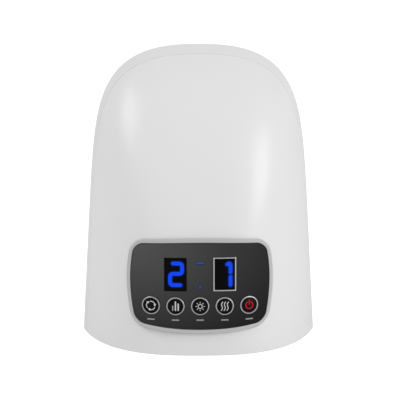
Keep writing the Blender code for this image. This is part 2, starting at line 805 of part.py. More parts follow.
collar_offset = FIT_GAP + COLLAR_WALL
builder = bmesh.new()
add_prism(builder, glass_outline(collar_offset + FIT_GAP), -HOOD_DEPTH / 2, OVERRUN * 2, PANEL)
combine(front_cover, tool("panel_opening", builder), "DIFFERENCE")
combine(front_cover, rear_bosses, "UNION")
combine(front_cover, base_bosses, "UNION")


# Rear cover: outer band, flat flange and knee tub in one moulding
soft_edge = EDGE_ROUND * SOFT_EDGE_SHARE
rows = [arch_row(HOOD_OUT, PARTING_REACH),
        arch_row(HOOD_OUT, EDGE_ROUND),
        arch_row(inset(HOOD_OUT, soft_edge), soft_edge),
        arch_row(inset(HOOD_OUT, EDGE_ROUND), 0),
        arch_row(inset(TUB_IN, -EDGE_ROUND), 0),
        arch_row(inset(TUB_IN, -soft_edge), soft_edge)]
rows += arch_skin(TUB_IN, EDGE_ROUND) + arch_skin(TUB_OUT, FLANGE_WALL)[::-1]
tongue_form = inset(HOOD_OUT, LIP_WALL + FIT_GAP)
tongue_end = PARTING_REACH + LIP_LENGTH
rows += [arch_row(HOOD_IN, FLANGE_WALL),
         arch_row(HOOD_IN, tongue_end),
         arch_row(tongue_form, tongue_end),
         arch_row(tongue_form, PARTING_REACH)]
rear_cover = body("rear_cover", loft(rows), white_satin)


def foot_outline(side, radius):
    """A long slot outline up the middle of the rear flange, as (across, height)."""
    ends = []
    for share in (FOOT_LOW_SHARE, FOOT_HIGH_SHARE):
        height = HOOD_HEIGHT * share
        inner = half_width_at(TUB_OUT, 0, height)
        outer = half_width_at(HOOD_OUT, 0, height)
        ends.append(Vector((side * (inner + outer) / 2, height)))
    run = (ends[1] - ends[0]).normalized()
    square = Vector((run.y, -run.x))
    outline = []
    for end, way in zip(ends, (-1, 1)):
        for step in range(SMALL_SEGMENTS // 2 + 1):
            angle = math.pi * step / (SMALL_SEGMENTS // 2)
            spread = square * math.cos(angle) * way * -1 + run * math.sin(angle) * way
            outline.append(tuple(end + spread * radius))
    return outline


UPRIGHT = Matrix(((1, 0, 0, 0), (0, 0, -1, 0), (0, 1, 0, 0), (0, 0, 0, 1)))


head_well = SCREW_HEAD_HEIGHT + FIT_GAP
builder = bmesh.new()
for across, height in rear_screw_places():
    axis = along(Vector((across, 0, height)), Vector((across, -HOOD_DEPTH, height)))
    profile = [(0, -OVERRUN), (SCREW_HEAD_RADIUS + FIT_GAP, -OVERRUN),
               (SCREW_HEAD_RADIUS + FIT_GAP, head_well), (pilot, head_well),
               (pilot, FLANGE_WALL + OVERRUN), (0, FLANGE_WALL + OVERRUN)]
    add_turned(builder, profile, axis, SMALL_SEGMENTS)
for side in (1, -1):
    add_prism(builder, foot_outline(side, FOOT_RADIUS + FIT_GAP), -OVERRUN, FOOT_SEAT, UPRIGHT)
flange_holes = tool("flange_holes", builder)
combine(rear_cover, flange_holes, "DIFFERENCE")

socket_across = HOOD_WIDTH / 2 * SOCKET_ACROSS_SHARE
socket_height = HOOD_HEIGHT * SOCKET_HEIGHT_SHARE
builder = bmesh.new()
add_box(builder,
        (socket_across - SOCKET_HALF_WIDTH - FIT_GAP, -FLANGE_WALL - OVERRUN,
         socket_height - SOCKET_HALF_HEIGHT - FIT_GAP),
        (socket_across + SOCKET_HALF_WIDTH + FIT_GAP, OVERRUN,
         socket_height + SOCKET_HALF_HEIGHT + FIT_GAP))
for side in (1, -1):
    start = Vector((side * half_width_at(TUB_OUT, HOSE_ENTRY_REACH, HOSE_ENTRY_HEIGHT)
                    + side * OVERRUN, -HOSE_ENTRY_REACH, HOSE_ENTRY_HEIGHT))
    add_rod(builder, start, start - Vector((side * SIDE_BAY / 2, 0, 0)), HOSE_RADIUS + FIT_GAP)
cover_passages = tool("cover_passages", builder)
combine(rear_cover, cover_passages, "DIFFERENCE")


# Base cover: a flat horseshoe plate that closes the bays at the bottom
def base_outline(form, first_reach, reverse):
    """Half a horseshoe at floor level, right to left round the front."""
    points = []
    for row in arch_skin(form, first_reach):
        points.append((row[0].x, row[0].y))
    left = [(-x, y) for x, y in reversed(points[:-1])]
    return (points + left)[::-1] if reverse else points + left


first_reach = FLANGE_WALL + FIT_GAP
builder = bmesh.new()
outline = base_outline(inset(HOOD_IN, BASE_EDGE_GAP), first_reach, False)
outline += base_outline(inset(TUB_OUT, -FIT_GAP), first_reach, True)
add_prism(builder, outline, 0, BASE_THICKNESS)
base_cover = body("base_cover", builder, white_satin)
builder = bmesh.new()
for across, reach in base_screw_places():
    axis = Matrix.Translation((across, -reach, 0))
    profile = [(0, -OVERRUN), (SCREW_HEAD_RADIUS + FIT_GAP, -OVERRUN),
               (SCREW_HEAD_RADIUS + FIT_GAP, head_well), (pilot, head_well),
               (pilot, BASE_THICKNESS + OVERRUN), (0, BASE_THICKNESS + OVERRUN)]
    add_turned(builder, profile, axis, SMALL_SEGMENTS)
base_holes = tool("base_holes", builder)
combine(base_cover, base_holes, "DIFFERENCE")


# Screws, whose heads sit in wells and whose shanks end in the bosses
def add_screw(builder, place, radius, head_radius, head_height, length):
    """A pan-head screw along local Z, head first, with a round driver socket."""
    socket_radius = SCREW_SOCKET_RADIUS * head_radius / SCREW_HEAD_RADIUS
    socket_depth = SCREW_SOCKET_DEPTH * head_height / SCREW_HEAD_HEIGHT
    profile = [(0, socket_depth), (socket_radius, socket_depth), (socket_radius, 0),
               (head_radius, 0), (head_radius, head_height), (radius, head_height),
               (radius, length - radius), (0, length)]
    add_turned(builder, profile, place, SCREW_SEGMENTS)


cover_screw = (SCREW_RADIUS, SCREW_HEAD_RADIUS, SCREW_HEAD_HEIGHT, SCREW_LENGTH)
for number, (across, height) in enumerate(rear_screw_places(), 1):
    place = along(Vector((across, 0, height)), Vector((across, -HOOD_DEPTH, height)))
    builder = bmesh.new()
    add_screw(builder, place, *cover_screw)
    body(f"rear_screw_{number}", builder, steel)
for number, (across, reach) in enumerate(base_screw_places(), 1):
    builder = bmesh.new()
    add_screw(builder, Matrix.Translation((across, -reach, 0)), *cover_screw)
    body(f"base_screw_{number}", builder, steel)

for name, side in (("left", -1), ("right", 1)):
    builder = bmesh.new()
    add_prism(builder, foot_outline(side, FOOT_RADIUS), -FOOT_PROUD, FOOT_SEAT - FIT_GAP, UPRIGHT)
    body(name + "_rubber_foot", builder, rubber_grey)


# Panel bezel: trim ring, collar through the cover, floor behind the glass, board posts
def ring_loop(offset, depth, form=None):
    """A loop round the glass at an offset, whose depth follows the glass or a form."""
    loop = []
    for across, up in glass_outline(offset):
        start = skin_depth(form, across, up) if form else glass_drop(across)
        loop.append((across, up, start + depth))
    return loop


builder = bmesh.new()
past_wall = inset(HOOD_IN, COLLAR_PAST_WALL)
add_panel_ring(builder, [ring_loop(BEZEL_WIDTH, BEZEL_SKIRT_GAP, HOOD_OUT),
                         ring_loop(BEZEL_WIDTH, BEZEL_PROUD - BEZEL_CHAMFER),
                         ring_loop(BEZEL_WIDTH - BEZEL_CHAMFER, BEZEL_PROUD),
                         ring_loop(FIT_GAP + BEZEL_CHAMFER, BEZEL_PROUD),
                         ring_loop(FIT_GAP, BEZEL_PROUD - BEZEL_CHAMFER),
                         ring_loop(FIT_GAP, 0, past_wall),
                         ring_loop(collar_offset, 0, past_wall),
                         ring_loop(collar_offset, BEZEL_SKIRT_GAP, HOOD_OUT)])
panel_bezel = body("panel_bezel", builder, bezel_grey)


def glass_slab(name, offset, front, back):
    """A curved plate of the glass's outline, for joining or showing."""
    slab = bmesh.new()
    reach = GLASS_HALF_WIDTH + BEZEL_WIDTH
    tall = GLASS_TOP + GLASS_BOTTOM
    add_panel_slab(slab, -reach, reach, -tall, tall, front, back, True, SLAB_STEPS)
    trim = bmesh.new()
    add_prism(trim, glass_outline(offset), -HOOD_DEPTH / 2, OVERRUN * 2, PANEL)
    return slab, tool(name + "_trim", trim)


floor_mesh, floor_trim = glass_slab("floor", FIT_GAP + FLOOR_ROOT, FLOOR_FRONT, FLOOR_BACK)
panel_floor = tool("panel_floor", floor_mesh)
combine(panel_floor, floor_trim, "INTERSECT")
combine(panel_bezel, panel_floor, "UNION")

top_post_across = DISPLAY_BOARD_HALF_WIDTH - TOP_POST_INSET
top_post_row = DISPLAY_BOARD_HALF_HEIGHT - TOP_POST_DROP
post_places = [(top_post_across, top_post_row), (-top_post_across, top_post_row),
               (KEY_PITCH * 1.5, KEY_ROW), (-KEY_PITCH * 1.5, KEY_ROW)]
builder = bmesh.new()
for across, up in post_places:
    root = FLOOR_BACK + PANEL_FLOOR / 2
    profile = [(0, root, True), (POST_RADIUS, root, True),
               (POST_RADIUS, BOARD_FRONT + FIT_GAP, False), (0, BOARD_FRONT + FIT_GAP, False)]
    add_panel_turned(builder, across, up, profile, segments=SMALL_SEGMENTS)
board_posts = tool("board_posts", builder)
combine(panel_bezel, board_posts, "UNION")

frame_half_width = WINDOW_HALF_WIDTH + FIT_GAP
frame_half_height = WINDOW_HALF_HEIGHT + FIT_GAP
display_inner_half_width = frame_half_width - FRAME_WIDTH - FIT_GAP
display_inner_half_height = frame_half_height - FRAME_WIDTH - FIT_GAP
floor_through = FLOOR_BACK - OVERRUN / 2
glass_through = OVERRUN
builder = bmesh.new()
for across in KEY_PLACES:
    deep = key_flange_top(across) + FIT_GAP / 2
    profile = [(0, glass_through, True), (KEY_RADIUS + FIT_GAP, glass_through, True),
               (KEY_RADIUS + FIT_GAP, deep - OVERRUN / 2, False), (0, deep - OVERRUN / 2, False)]
    add_panel_turned(builder, across, KEY_ROW, profile, segments=KEY_SEGMENTS)
for middle, half_width, half_height in (
        (-KEY_PITCH, WINDOW_HALF_WIDTH, WINDOW_HALF_HEIGHT),
        (KEY_PITCH, display_inner_half_width, display_inner_half_height)):
    add_panel_slab(builder, middle - half_width - FIT_GAP, middle + half_width + FIT_GAP,
                   WINDOW_ROW - half_height - FIT_GAP, WINDOW_ROW + half_height + FIT_GAP,
                   glass_through, floor_through, True)
add_panel_slab(builder, -DASH_HALF_WIDTH - FIT_GAP, DASH_HALF_WIDTH + FIT_GAP,
               DASH_ROW - DASH_HALF_HEIGHT - FIT_GAP, DASH_ROW + DASH_HALF_HEIGHT + FIT_GAP,
               glass_through, floor_through, True)
add_panel_turned(builder, 0, DOT_ROW,
                 [(0, glass_through, True), (DOT_RADIUS + FIT_GAP, glass_through, True),
                  (DOT_RADIUS + FIT_GAP, floor_through, True), (0, floor_through, True)],
                 segments=SMALL_SEGMENTS)
pilot_root = BOARD_FRONT + FIT_GAP
board_pilot = BOARD_SCREW_RADIUS + FIT_GAP
for across, up in post_places:
    profile = [(0, pilot_root + POST_PILOT_DEPTH, False),
               (board_pilot, pilot_root + POST_PILOT_DEPTH, False),
               (board_pilot, pilot_root - OVERRUN, False), (0, pilot_root - OVERRUN, False)]
    add_panel_turned(builder, across, up, profile, segments=SMALL_SEGMENTS)
floor_holes = tool("floor_holes", builder)
combine(panel_bezel, floor_holes, "DIFFERENCE")


# Smoked lens with holes for keys, windows and indicator lights
lens_mesh, lens_trim = glass_slab("lens", 0, 0, -LENS_THICKNESS)
panel_lens = body("panel_lens", lens_mesh, smoked_lens)
combine(panel_lens, lens_trim, "INTERSECT")
lens_back = -LENS_THICKNESS - OVERRUN / 2
ring_outer = KEY_RADIUS + FIT_GAP + RING_WIDTH
builder = bmesh.new()
for across in KEY_PLACES:
    profile = [(0, glass_through, True), (ring_outer + FIT_GAP, glass_through, True),
               (ring_outer + FIT_GAP, lens_back, True), (0, lens_back, True)]
    add_panel_turned(builder, across, KEY_ROW, profile, segments=KEY_SEGMENTS)
for middle, half_width, half_height in (
        (-KEY_PITCH, WINDOW_HALF_WIDTH, WINDOW_HALF_HEIGHT),
        (KEY_PITCH, frame_half_width, frame_half_height)):
    add_panel_slab(builder, middle - half_width - FIT_GAP, middle + half_width + FIT_GAP,
                   WINDOW_ROW - half_height - FIT_GAP, WINDOW_ROW + half_height + FIT_GAP,
                   glass_through, lens_back, True)
add_panel_slab(builder, -DASH_HALF_WIDTH - FIT_GAP, DASH_HALF_WIDTH + FIT_GAP,
               DASH_ROW - DASH_HALF_HEIGHT - FIT_GAP, DASH_ROW + DASH_HALF_HEIGHT + FIT_GAP,
               glass_through, lens_back, True)
add_panel_turned(builder, 0, DOT_ROW,
                 [(0, glass_through, True), (DOT_RADIUS + FIT_GAP, glass_through, True),
                  (DOT_RADIUS + FIT_GAP, lens_back, True), (0, lens_back, True)],
                 segments=SMALL_SEGMENTS)
lens_holes = tool("lens_holes", builder)
combine(panel_lens, lens_holes, "DIFFERENCE")

# Bright rings round the keys, plated as one piece with a thin strip under the lens
strip_back = STRIP_FRONT - RING_STRIP_THICKNESS
builder = bmesh.new()
strip_reach = KEY_PLACES[-1]
add_panel_slab(builder, -strip_reach, strip_reach, KEY_ROW - RING_STRIP_WIDTH / 2,
               KEY_ROW + RING_STRIP_WIDTH / 2, STRIP_FRONT, strip_back, True, SLAB_STEPS)
ring_trim = body("ring_trim", builder, silver)
rings = bmesh.new()
cores = bmesh.new()
for across in KEY_PLACES:
    ring_back = (STRIP_FRONT + strip_back) / 2
    profile = [(0, RING_PROUD, True), (ring_outer, RING_PROUD, True),
               (ring_outer, ring_back, True), (0, ring_back, True)]
    add_panel_turned(rings, across, KEY_ROW, profile, segments=KEY_SEGMENTS)
    profile = [(0, OVERRUN, True), (KEY_RADIUS + FIT_GAP, OVERRUN, True),
               (KEY_RADIUS + FIT_GAP, strip_back - OVERRUN, True), (0, strip_back - OVERRUN, True)]
    add_panel_turned(cores, across, KEY_ROW, profile, segments=KEY_SEGMENTS)
combine(ring_trim, tool("ring_bodies", rings), "UNION")
combine(ring_trim, tool("ring_cores", cores), "DIFFERENCE")


# Silver frame round the right-hand window
def window_loop(half_width, half_height, depth):
    """A rectangle round the right-hand window that follows the glass."""
    loop = []
    outline = rounded_box_outline(half_width, -half_height, half_height, FRAME_WIDTH / 2,
                                  corner_steps=2, edge_steps=4)
    for across, up in outline:
        u = KEY_PITCH + across
        loop.append((u, WINDOW_ROW + up, depth + glass_drop(u)))
    return loop


builder = bmesh.new()
frame_inner = (frame_half_width - FRAME_WIDTH, frame_half_height - FRAME_WIDTH)
add_panel_ring(builder, [window_loop(frame_half_width, frame_half_height, -LENS_THICKNESS),
                         window_loop(frame_half_width, frame_half_height, FRAME_PROUD),
                         window_loop(*frame_inner, FRAME_PROUD),
                         window_loop(*frame_inner, -LENS_THICKNESS)])
body("display_frame", builder, silver)

# Digit displays, which stand on the board and end just under the face of the glass
display_back = BOARD_FRONT + FIT_GAP
for name, middle, half_width, half_height in (
        ("left_digit_display", -KEY_PITCH, WINDOW_HALF_WIDTH, WINDOW_HALF_HEIGHT),
        ("right_digit_display", KEY_PITCH, display_inner_half_width, display_inner_half_height)):
    builder = bmesh.new()
    add_panel_slab(builder, middle - half_width, middle + half_width,
                   WINDOW_ROW - half_height, WINDOW_ROW + half_height,
                   -WINDOW_RECESS, display_back, False)
    body(name, builder, display_black)

# Light guide of the indicators: a dash and a dot on one bar that stands on the board
builder = bmesh.new()
add_panel_slab(builder, -DASH_HALF_WIDTH, DASH_HALF_WIDTH, DASH_ROW - DASH_HALF_HEIGHT,
               DASH_ROW + DASH_HALF_HEIGHT, -WINDOW_RECESS, display_back, False)
indicator_guide = body("indicator_guide", builder, indicator_blue)
builder = bmesh.new()
add_panel_turned(builder, 0, DOT_ROW,
                 [(0, -WINDOW_RECESS, True), (DOT_RADIUS, -WINDOW_RECESS, True),
                  (DOT_RADIUS, display_back, False), (0, display_back, False)],
                 segments=SMALL_SEGMENTS)
combine(indicator_guide, tool("indicator_dot", builder), "UNION")
builder = bmesh.new()
add_box(builder, (-GUIDE_BAR_HALF_WIDTH, DOT_ROW, display_back),
        (GUIDE_BAR_HALF_WIDTH, DASH_ROW, display_back + GUIDE_BAR_THICKNESS), PANEL)
combine(indicator_guide, tool("indicator_bar", builder), "UNION")

# Keys, held behind the floor of the bezel by their flanges
key_names = ("mode", "intensity", "light", "heat", "power")
for name, across in zip(key_names, KEY_PLACES):
    flange_top = key_flange_top(across)
    flange_back = flange_top - KEY_FLANGE_THICKNESS
    profile = [(0, KEY_PROUD, True), (KEY_RADIUS - KEY_EDGE, KEY_PROUD, True),
               (KEY_RADIUS, KEY_PROUD - KEY_EDGE, True),
               (KEY_RADIUS, flange_top, False), (KEY_FLANGE_RADIUS, flange_top, False),
               (KEY_FLANGE_RADIUS, flange_back, False), (KEY_STEM_RADIUS, flange_back, False),
               (KEY_STEM_RADIUS, KEY_FOOT, False), (0, KEY_FOOT, False)]
    builder = bmesh.new()
    add_panel_turned(builder, across, KEY_ROW, profile, segments=KEY_SEGMENTS)
    body(name + "_button", builder, key_black, PANEL @ Vector((across, KEY_ROW, KEY_FOOT)))

# Rubber key mat on the board, with a dome that springs back under each key
mat_back = BOARD_FRONT + FIT_GAP
mat_front = mat_back + MAT_THICKNESS
hollow_top = mat_back + KEY_TRAVEL + DOME_SPARE_DEPTH
mat_half_width = KEY_PLACES[-1] + DOME_RADIUS + MAT_MARGIN
mat_half_height = DOME_RADIUS + MAT_MARGIN
builder = bmesh.new()
add_box(builder, (-mat_half_width, KEY_ROW - mat_half_height, mat_back),
        (mat_half_width, KEY_ROW + mat_half_height, mat_front), PANEL)
key_mat = body("key_mat", builder, rubber_grey)
domes = bmesh.new()
hollows = bmesh.new()
for across in KEY_PLACES:
    root = mat_back + MAT_THICKNESS / 2
    profile = [(0, root, False), (DOME_RADIUS, root, False), (DOME_RADIUS, mat_front, False),
               (DOME_TOP_RADIUS, DOME_TOP, False), (0, DOME_TOP, False)]
    add_panel_turned(domes, across, KEY_ROW, profile, segments=SMALL_SEGMENTS)
    profile = [(0, mat_back - OVERRUN, False), (DOME_HOLLOW_RADIUS, mat_back - OVERRUN, False),
               (DOME_HOLLOW_RADIUS, mat_back, False),
               (DOME_HOLLOW_RADIUS / 2, hollow_top, False), (0, hollow_top, False)]
    add_panel_turned(hollows, across, KEY_ROW, profile, segments=SMALL_SEGMENTS)
combine(key_mat, tool("mat_domes", domes), "UNION")
combine(key_mat, tool("mat_hollows", hollows), "DIFFERENCE")
mat_holes = bmesh.new()
for across, up in post_places[2:]:
    profile = [(0, DOME_TOP, False), (POST_RADIUS + FIT_GAP, DOME_TOP, False),
               (POST_RADIUS + FIT_GAP, mat_back - OVERRUN, False), (0, mat_back - OVERRUN, False)]
    add_panel_turned(mat_holes, across, up, profile, segments=SMALL_SEGMENTS)
combine(key_mat, tool("mat_post_holes", mat_holes), "DIFFERENCE")

# Display board, screwed to the posts from behind
builder = bmesh.new()
outline = rounded_box_outline(DISPLAY_BOARD_HALF_WIDTH, -DISPLAY_BOARD_HALF_HEIGHT,
                              DISPLAY_BOARD_HALF_HEIGHT, BOARD_CORNER,
                              corner_steps=2, edge_steps=2)
add_prism(builder, outline, BOARD_BACK, BOARD_FRONT, PANEL)
display_board = body("display_board", builder, board_green)
builder = bmesh.new()
for across, up in post_places:
    profile = [(0, BOARD_FRONT + OVERRUN, False), (board_pilot, BOARD_FRONT + OVERRUN, False),
               (board_pilot, BOARD_BACK - OVERRUN, False), (0, BOARD_BACK - OVERRUN, False)]
    add_panel_turned(builder, across, up, profile, segments=SMALL_SEGMENTS)
board_holes = tool("board_holes", builder)
combine(display_board, board_holes, "DIFFERENCE")

# Battery: two round cells one above the other in the top bay, in a holder on the flange
cell_reach = FLANGE_WALL + FIT_GAP + CELL_REACH_GAP + CELL_RADIUS
tub_top_at_cell = TUB_OUT[1] * arch_scale((cell_reach - CELL_RADIUS) / TUB_OUT[2])
lower_cell_height = tub_top_at_cell + FIT_GAP + CELL_RADIUS
upper_cell_height = lower_cell_height + 2 * CELL_RADIUS + CELL_SPACING_GAP
for name, height in (("battery_cell_lower", lower_cell_height),
                     ("battery_cell_upper", upper_cell_height)):
    start = Vector((-CELL_LENGTH / 2, -cell_reach, height))
    place = along(start, start + Vector((CELL_LENGTH, 0, 0)))
    can_end = CELL_LENGTH - CELL_CAP_HEIGHT
    profile = [(0, 0), (CELL_RADIUS, 0), (CELL_RADIUS, can_end), (CELL_CAP_RADIUS, can_end),
               (CELL_CAP_RADIUS, CELL_LENGTH), (0, CELL_LENGTH)]
    builder = bmesh.new()
    add_turned(builder, profile, place)
    body(name, builder, cell_wrap)

hood_room = tool("hood_room", arch_block(inset(HOOD_IN, 2 * FIT_GAP), lip_end))
tub_room = tool("tub_room", arch_block(inset(TUB_OUT, -FIT_GAP), FLANGE_WALL))
plate_back = cell_reach + CELL_RADIUS + FIT_GAP
plate_front = plate_back + HOLDER_WALL
end_wall_inner = CELL_LENGTH / 2 + FIT_GAP
end_wall_outer = end_wall_inner + HOLDER_WALL
holder_foot = lower_cell_height - CELL_RADIUS
board_back_reach = plate_front + HOLDER_POST + FIT_GAP
board_high = upper_cell_height - CONTROL_BOARD_DROP + CELL_RADIUS / 2
board_low = board_high - CONTROL_BOARD_HEIGHT
builder = bmesh.new()
outline = [(end_wall_outer, -FLANGE_WALL - FIT_GAP), (end_wall_outer, -plate_front),
           (-end_wall_outer, -plate_front), (-end_wall_outer, -FLANGE_WALL - FIT_GAP),
           (-end_wall_inner, -FLANGE_WALL - FIT_GAP), (-end_wall_inner, -plate_back),
           (end_wall_inner, -plate_back), (end_wall_inner, -FLANGE_WALL - FIT_GAP)]
holder_high = upper_cell_height + HOLDER_PLATE_DROP
add_prism(builder, outline, min(holder_foot, board_low), holder_high)
battery_holder = body("battery_holder", builder, dark_plastic)
control_posts = [(side * (CONTROL_BOARD_HALF_WIDTH - CONTROL_POST_INSET), height)
                 for side in (1, -1)
                 for height in (board_low + CONTROL_POST_INSET, board_high - CONTROL_POST_INSET)]
peg_reach = board_back_reach + BOARD_THICKNESS + PEG_PROUD
builder = bmesh.new()
for across, height in control_posts:
    start = Vector((across, -plate_front + HOLDER_WALL / 2, height))
    place = along(start, start - Vector((0, HOOD_DEPTH, 0)))
    shoulder = board_back_reach - FIT_GAP - plate_front + HOLDER_WALL / 2
    peg_end = peg_reach - plate_front + HOLDER_WALL / 2
    add_turned(builder, [(0, 0), (POST_RADIUS, 0), (POST_RADIUS, shoulder),
                         (PEG_RADIUS, shoulder), (PEG_RADIUS, peg_end), (0, peg_end)],
               place, SMALL_SEGMENTS)
combine(battery_holder, tool("holder_posts", builder), "UNION")
combine(battery_holder, hood_room, "INTERSECT")
combine(battery_holder, tub_room, "DIFFERENCE")

board_face_reach = board_back_reach + BOARD_THICKNESS
builder = bmesh.new()
add_box(builder, (-CONTROL_BOARD_HALF_WIDTH, -board_face_reach, board_low),
        (CONTROL_BOARD_HALF_WIDTH, -board_back_reach, board_high))
control_board = body("control_board", builder, board_green)
builder = bmesh.new()
for across, height in control_posts:
    add_rod(builder, Vector((across, -board_back_reach + OVERRUN, height)),
            Vector((across, -board_face_reach - OVERRUN, height)), PEG_RADIUS + FIT_GAP)
combine(control_board, tool("control_holes", builder), "DIFFERENCE")

board_middle = (board_low + board_high) / 2
chip_back = board_face_reach + FIT_GAP
builder = bmesh.new()
add_box(builder, (-CHIP_WIDTH / 2, -chip_back - CHIP_THICKNESS, board_middle - CHIP_WIDTH / 2),
        (CHIP_WIDTH / 2, -chip_back, board_middle + CHIP_WIDTH / 2))
body("control_chip", builder, dark_plastic)
capacitor_foot = Vector((CONTROL_BOARD_HALF_WIDTH / 2, -chip_back, board_middle))
builder = bmesh.new()
add_rod(builder, capacitor_foot, capacitor_foot - Vector((0, CAPACITOR_HEIGHT, 0)), CAPACITOR_RADIUS)
body("power_capacitor", builder, dark_plastic)

screw_sizes = (BOARD_SCREW_RADIUS, BOARD_SCREW_HEAD_RADIUS, BOARD_SCREW_HEAD_HEIGHT,
               BOARD_SCREW_HEAD_HEIGHT + BOARD_SCREW_LENGTH)
for number, (across, up) in enumerate(post_places, 1):
    start = BOARD_BACK - FIT_GAP - BOARD_SCREW_HEAD_HEIGHT
    builder = bmesh.new()
    add_screw(builder, PANEL @ Matrix.Translation((across, up, start)), *screw_sizes)
    body(f"board_screw_{number}", builder, steel)

# Charging socket: a small metal shell with a tongue, in a moulded ear behind the flange
builder = bmesh.new()
socket_mouth = SOCKET_RECESS
place = along(Vector((socket_across, -socket_mouth, socket_height)),
              Vector((socket_across, -HOOD_DEPTH, socket_height)))
add_box(builder, (-SOCKET_HALF_WIDTH, -SOCKET_HALF_HEIGHT, 0),
        (SOCKET_HALF_WIDTH, SOCKET_HALF_HEIGHT, SOCKET_LENGTH), place)
charging_socket = body("charging_socket", builder, steel)
builder = bmesh.new()
ear_start = FLANGE_WALL + FIT_GAP - socket_mouth
add_box(builder, (-SOCKET_HALF_WIDTH - SOCKET_EAR, -SOCKET_HALF_HEIGHT - SOCKET_EAR, ear_start),
        (SOCKET_HALF_WIDTH + SOCKET_EAR, SOCKET_HALF_HEIGHT + SOCKET_EAR,
         SOCKET_LENGTH + SOCKET_EAR), place)
socket_ear = tool("socket_ear", builder)
combine(charging_socket, socket_ear, "UNION")
builder = bmesh.new()
mouth = (SOCKET_HALF_WIDTH - SOCKET_SKIN, SOCKET_HALF_HEIGHT - SOCKET_SKIN)
add_box(builder, (-mouth[0], -mouth[1], -OVERRUN),
        (mouth[0], -SOCKET_TONGUE_HALF, SOCKET_LENGTH - SOCKET_EAR), place)
add_box(builder, (-mouth[0], SOCKET_TONGUE_HALF, -OVERRUN),
        (mouth[0], mouth[1], SOCKET_LENGTH - SOCKET_EAR), place)
socket_mouth_shape = tool("socket_mouth_shape", builder)
combine(charging_socket, socket_mouth_shape, "DIFFERENCE")


# Air pump: motor and pump head on one shaft across the hood, held by a saddle on the tub
def saddle(name, centre, radius, half_height, width, middle, material):
    """A saddle that fits the tub's outside and bands a round motor lying across."""
    block = bmesh.new()
    add_box(block, (middle - width / 2, centre.y + radius / 3, centre.z - half_height),
            (middle + width / 2, -EDGE_ROUND, centre.z + half_height))
    made = body(name, block, material)
    band = bmesh.new()
    add_rod(band, Vector((middle - BRACKET_BAND_WIDTH / 2, centre.y, centre.z)),
            Vector((middle + BRACKET_BAND_WIDTH / 2, centre.y, centre.z)),
            radius + FIT_GAP + BRACKET_BAND, ROUND_SEGMENTS)
    combine(made, tool(name + "_band", band), "UNION")
    room = bmesh.new()
    add_rod(room, Vector((middle - width, centre.y, centre.z)),
            Vector((middle + width, centre.y, centre.z)), radius + FIT_GAP, ROUND_SEGMENTS)
    combine(made, tool(name + "_room", room), "DIFFERENCE")
    combine(made, tub_room, "DIFFERENCE")
    return made


pump_reach = resting_reach(TUB_OUT, PUMP_HEIGHT, PUMP_HEAD_RADIUS) + PUMP_CLEAR
pump_centre = Vector((0, -pump_reach, PUMP_HEIGHT))
pump_length = PUMP_MOTOR_LENGTH + FIT_GAP + PUMP_HEAD_LENGTH
motor_start = -pump_length / 2
motor_end = motor_start + PUMP_MOTOR_LENGTH
head_start = motor_end + FIT_GAP
across_axis = along(Vector((0, -pump_reach, PUMP_HEIGHT)), Vector((HOOD_WIDTH, -pump_reach, PUMP_HEIGHT)))
shaft_bore = PUMP_SHAFT_RADIUS + FIT_GAP
builder = bmesh.new()
add_turned(builder, [(0, motor_start), (PUMP_MOTOR_RADIUS, motor_start),
                     (PUMP_MOTOR_RADIUS, motor_end), (shaft_bore, motor_end),
                     (shaft_bore, motor_end - PUMP_SHAFT_SEAT - FIT_GAP),
                     (0, motor_end - PUMP_SHAFT_SEAT - FIT_GAP)], across_axis)
body("pump_motor", builder, steel)
head_end = head_start + PUMP_HEAD_LENGTH
head_cavity = PUMP_HEAD_RADIUS - PUMP_HEAD_WALL
builder = bmesh.new()
add_turned(builder, [(0, head_end + SPIGOT_LENGTH), (SPIGOT_RADIUS, head_end + SPIGOT_LENGTH),
                     (SPIGOT_RADIUS, head_end), (PUMP_HEAD_RADIUS, head_end),
                     (PUMP_HEAD_RADIUS, head_start), (head_cavity, head_start),
                     (head_cavity, head_end - PUMP_HEAD_WALL), (0, head_end - PUMP_HEAD_WALL)],
           across_axis)
body("pump_head", builder, dark_plastic)

builder = bmesh.new()
disc_start = head_start + PUMP_HEAD_WALL
disc_end = disc_start + ECCENTRIC_THICKNESS
add_turned(builder, [(0, motor_end - PUMP_SHAFT_SEAT), (PUMP_SHAFT_RADIUS, motor_end - PUMP_SHAFT_SEAT),
                     (PUMP_SHAFT_RADIUS, disc_end + FIT_GAP), (0, disc_end + FIT_GAP)],
           across_axis, SMALL_SEGMENTS)
pump_shaft = body("pump_shaft", builder, steel, pump_centre)
builder = bmesh.new()
offset_axis = across_axis @ Matrix.Translation((0, -ECCENTRIC_OFFSET, 0))
add_turned(builder, [(0, disc_start), (ECCENTRIC_RADIUS, disc_start),
                     (ECCENTRIC_RADIUS, disc_end), (0, disc_end)], offset_axis)
eccentric = tool("eccentric", builder)
combine(pump_shaft, eccentric, "UNION")
saddle("pump_bracket", pump_centre, PUMP_MOTOR_RADIUS, BRACKET_HALF_HEIGHT, BRACKET_WIDTH,
       (motor_start + motor_end) / 2, dark_plastic)

# Manifold on the tub beside the pump head, with the exhaust valve on top of it
manifold_left = head_end + SPIGOT_LENGTH + FIT_GAP
manifold_right = manifold_left + MANIFOLD_WIDTH
manifold_middle = (manifold_left + manifold_right) / 2
manifold_face = pump_reach + SPIGOT_RADIUS + MANIFOLD_WALL
manifold_low = PUMP_HEIGHT - MANIFOLD_HEIGHT / 2
manifold_high = PUMP_HEIGHT + MANIFOLD_HEIGHT / 2
builder = bmesh.new()
manifold_root = max(FLANGE_WALL + FIT_GAP, reach_at(TUB_OUT, manifold_right, manifold_low))
add_box(builder, (manifold_left, -manifold_face, manifold_low),
        (manifold_right, -manifold_root, manifold_high))
air_manifold = body("air_manifold", builder, white_satin)
combine(air_manifold, tub_room, "DIFFERENCE")

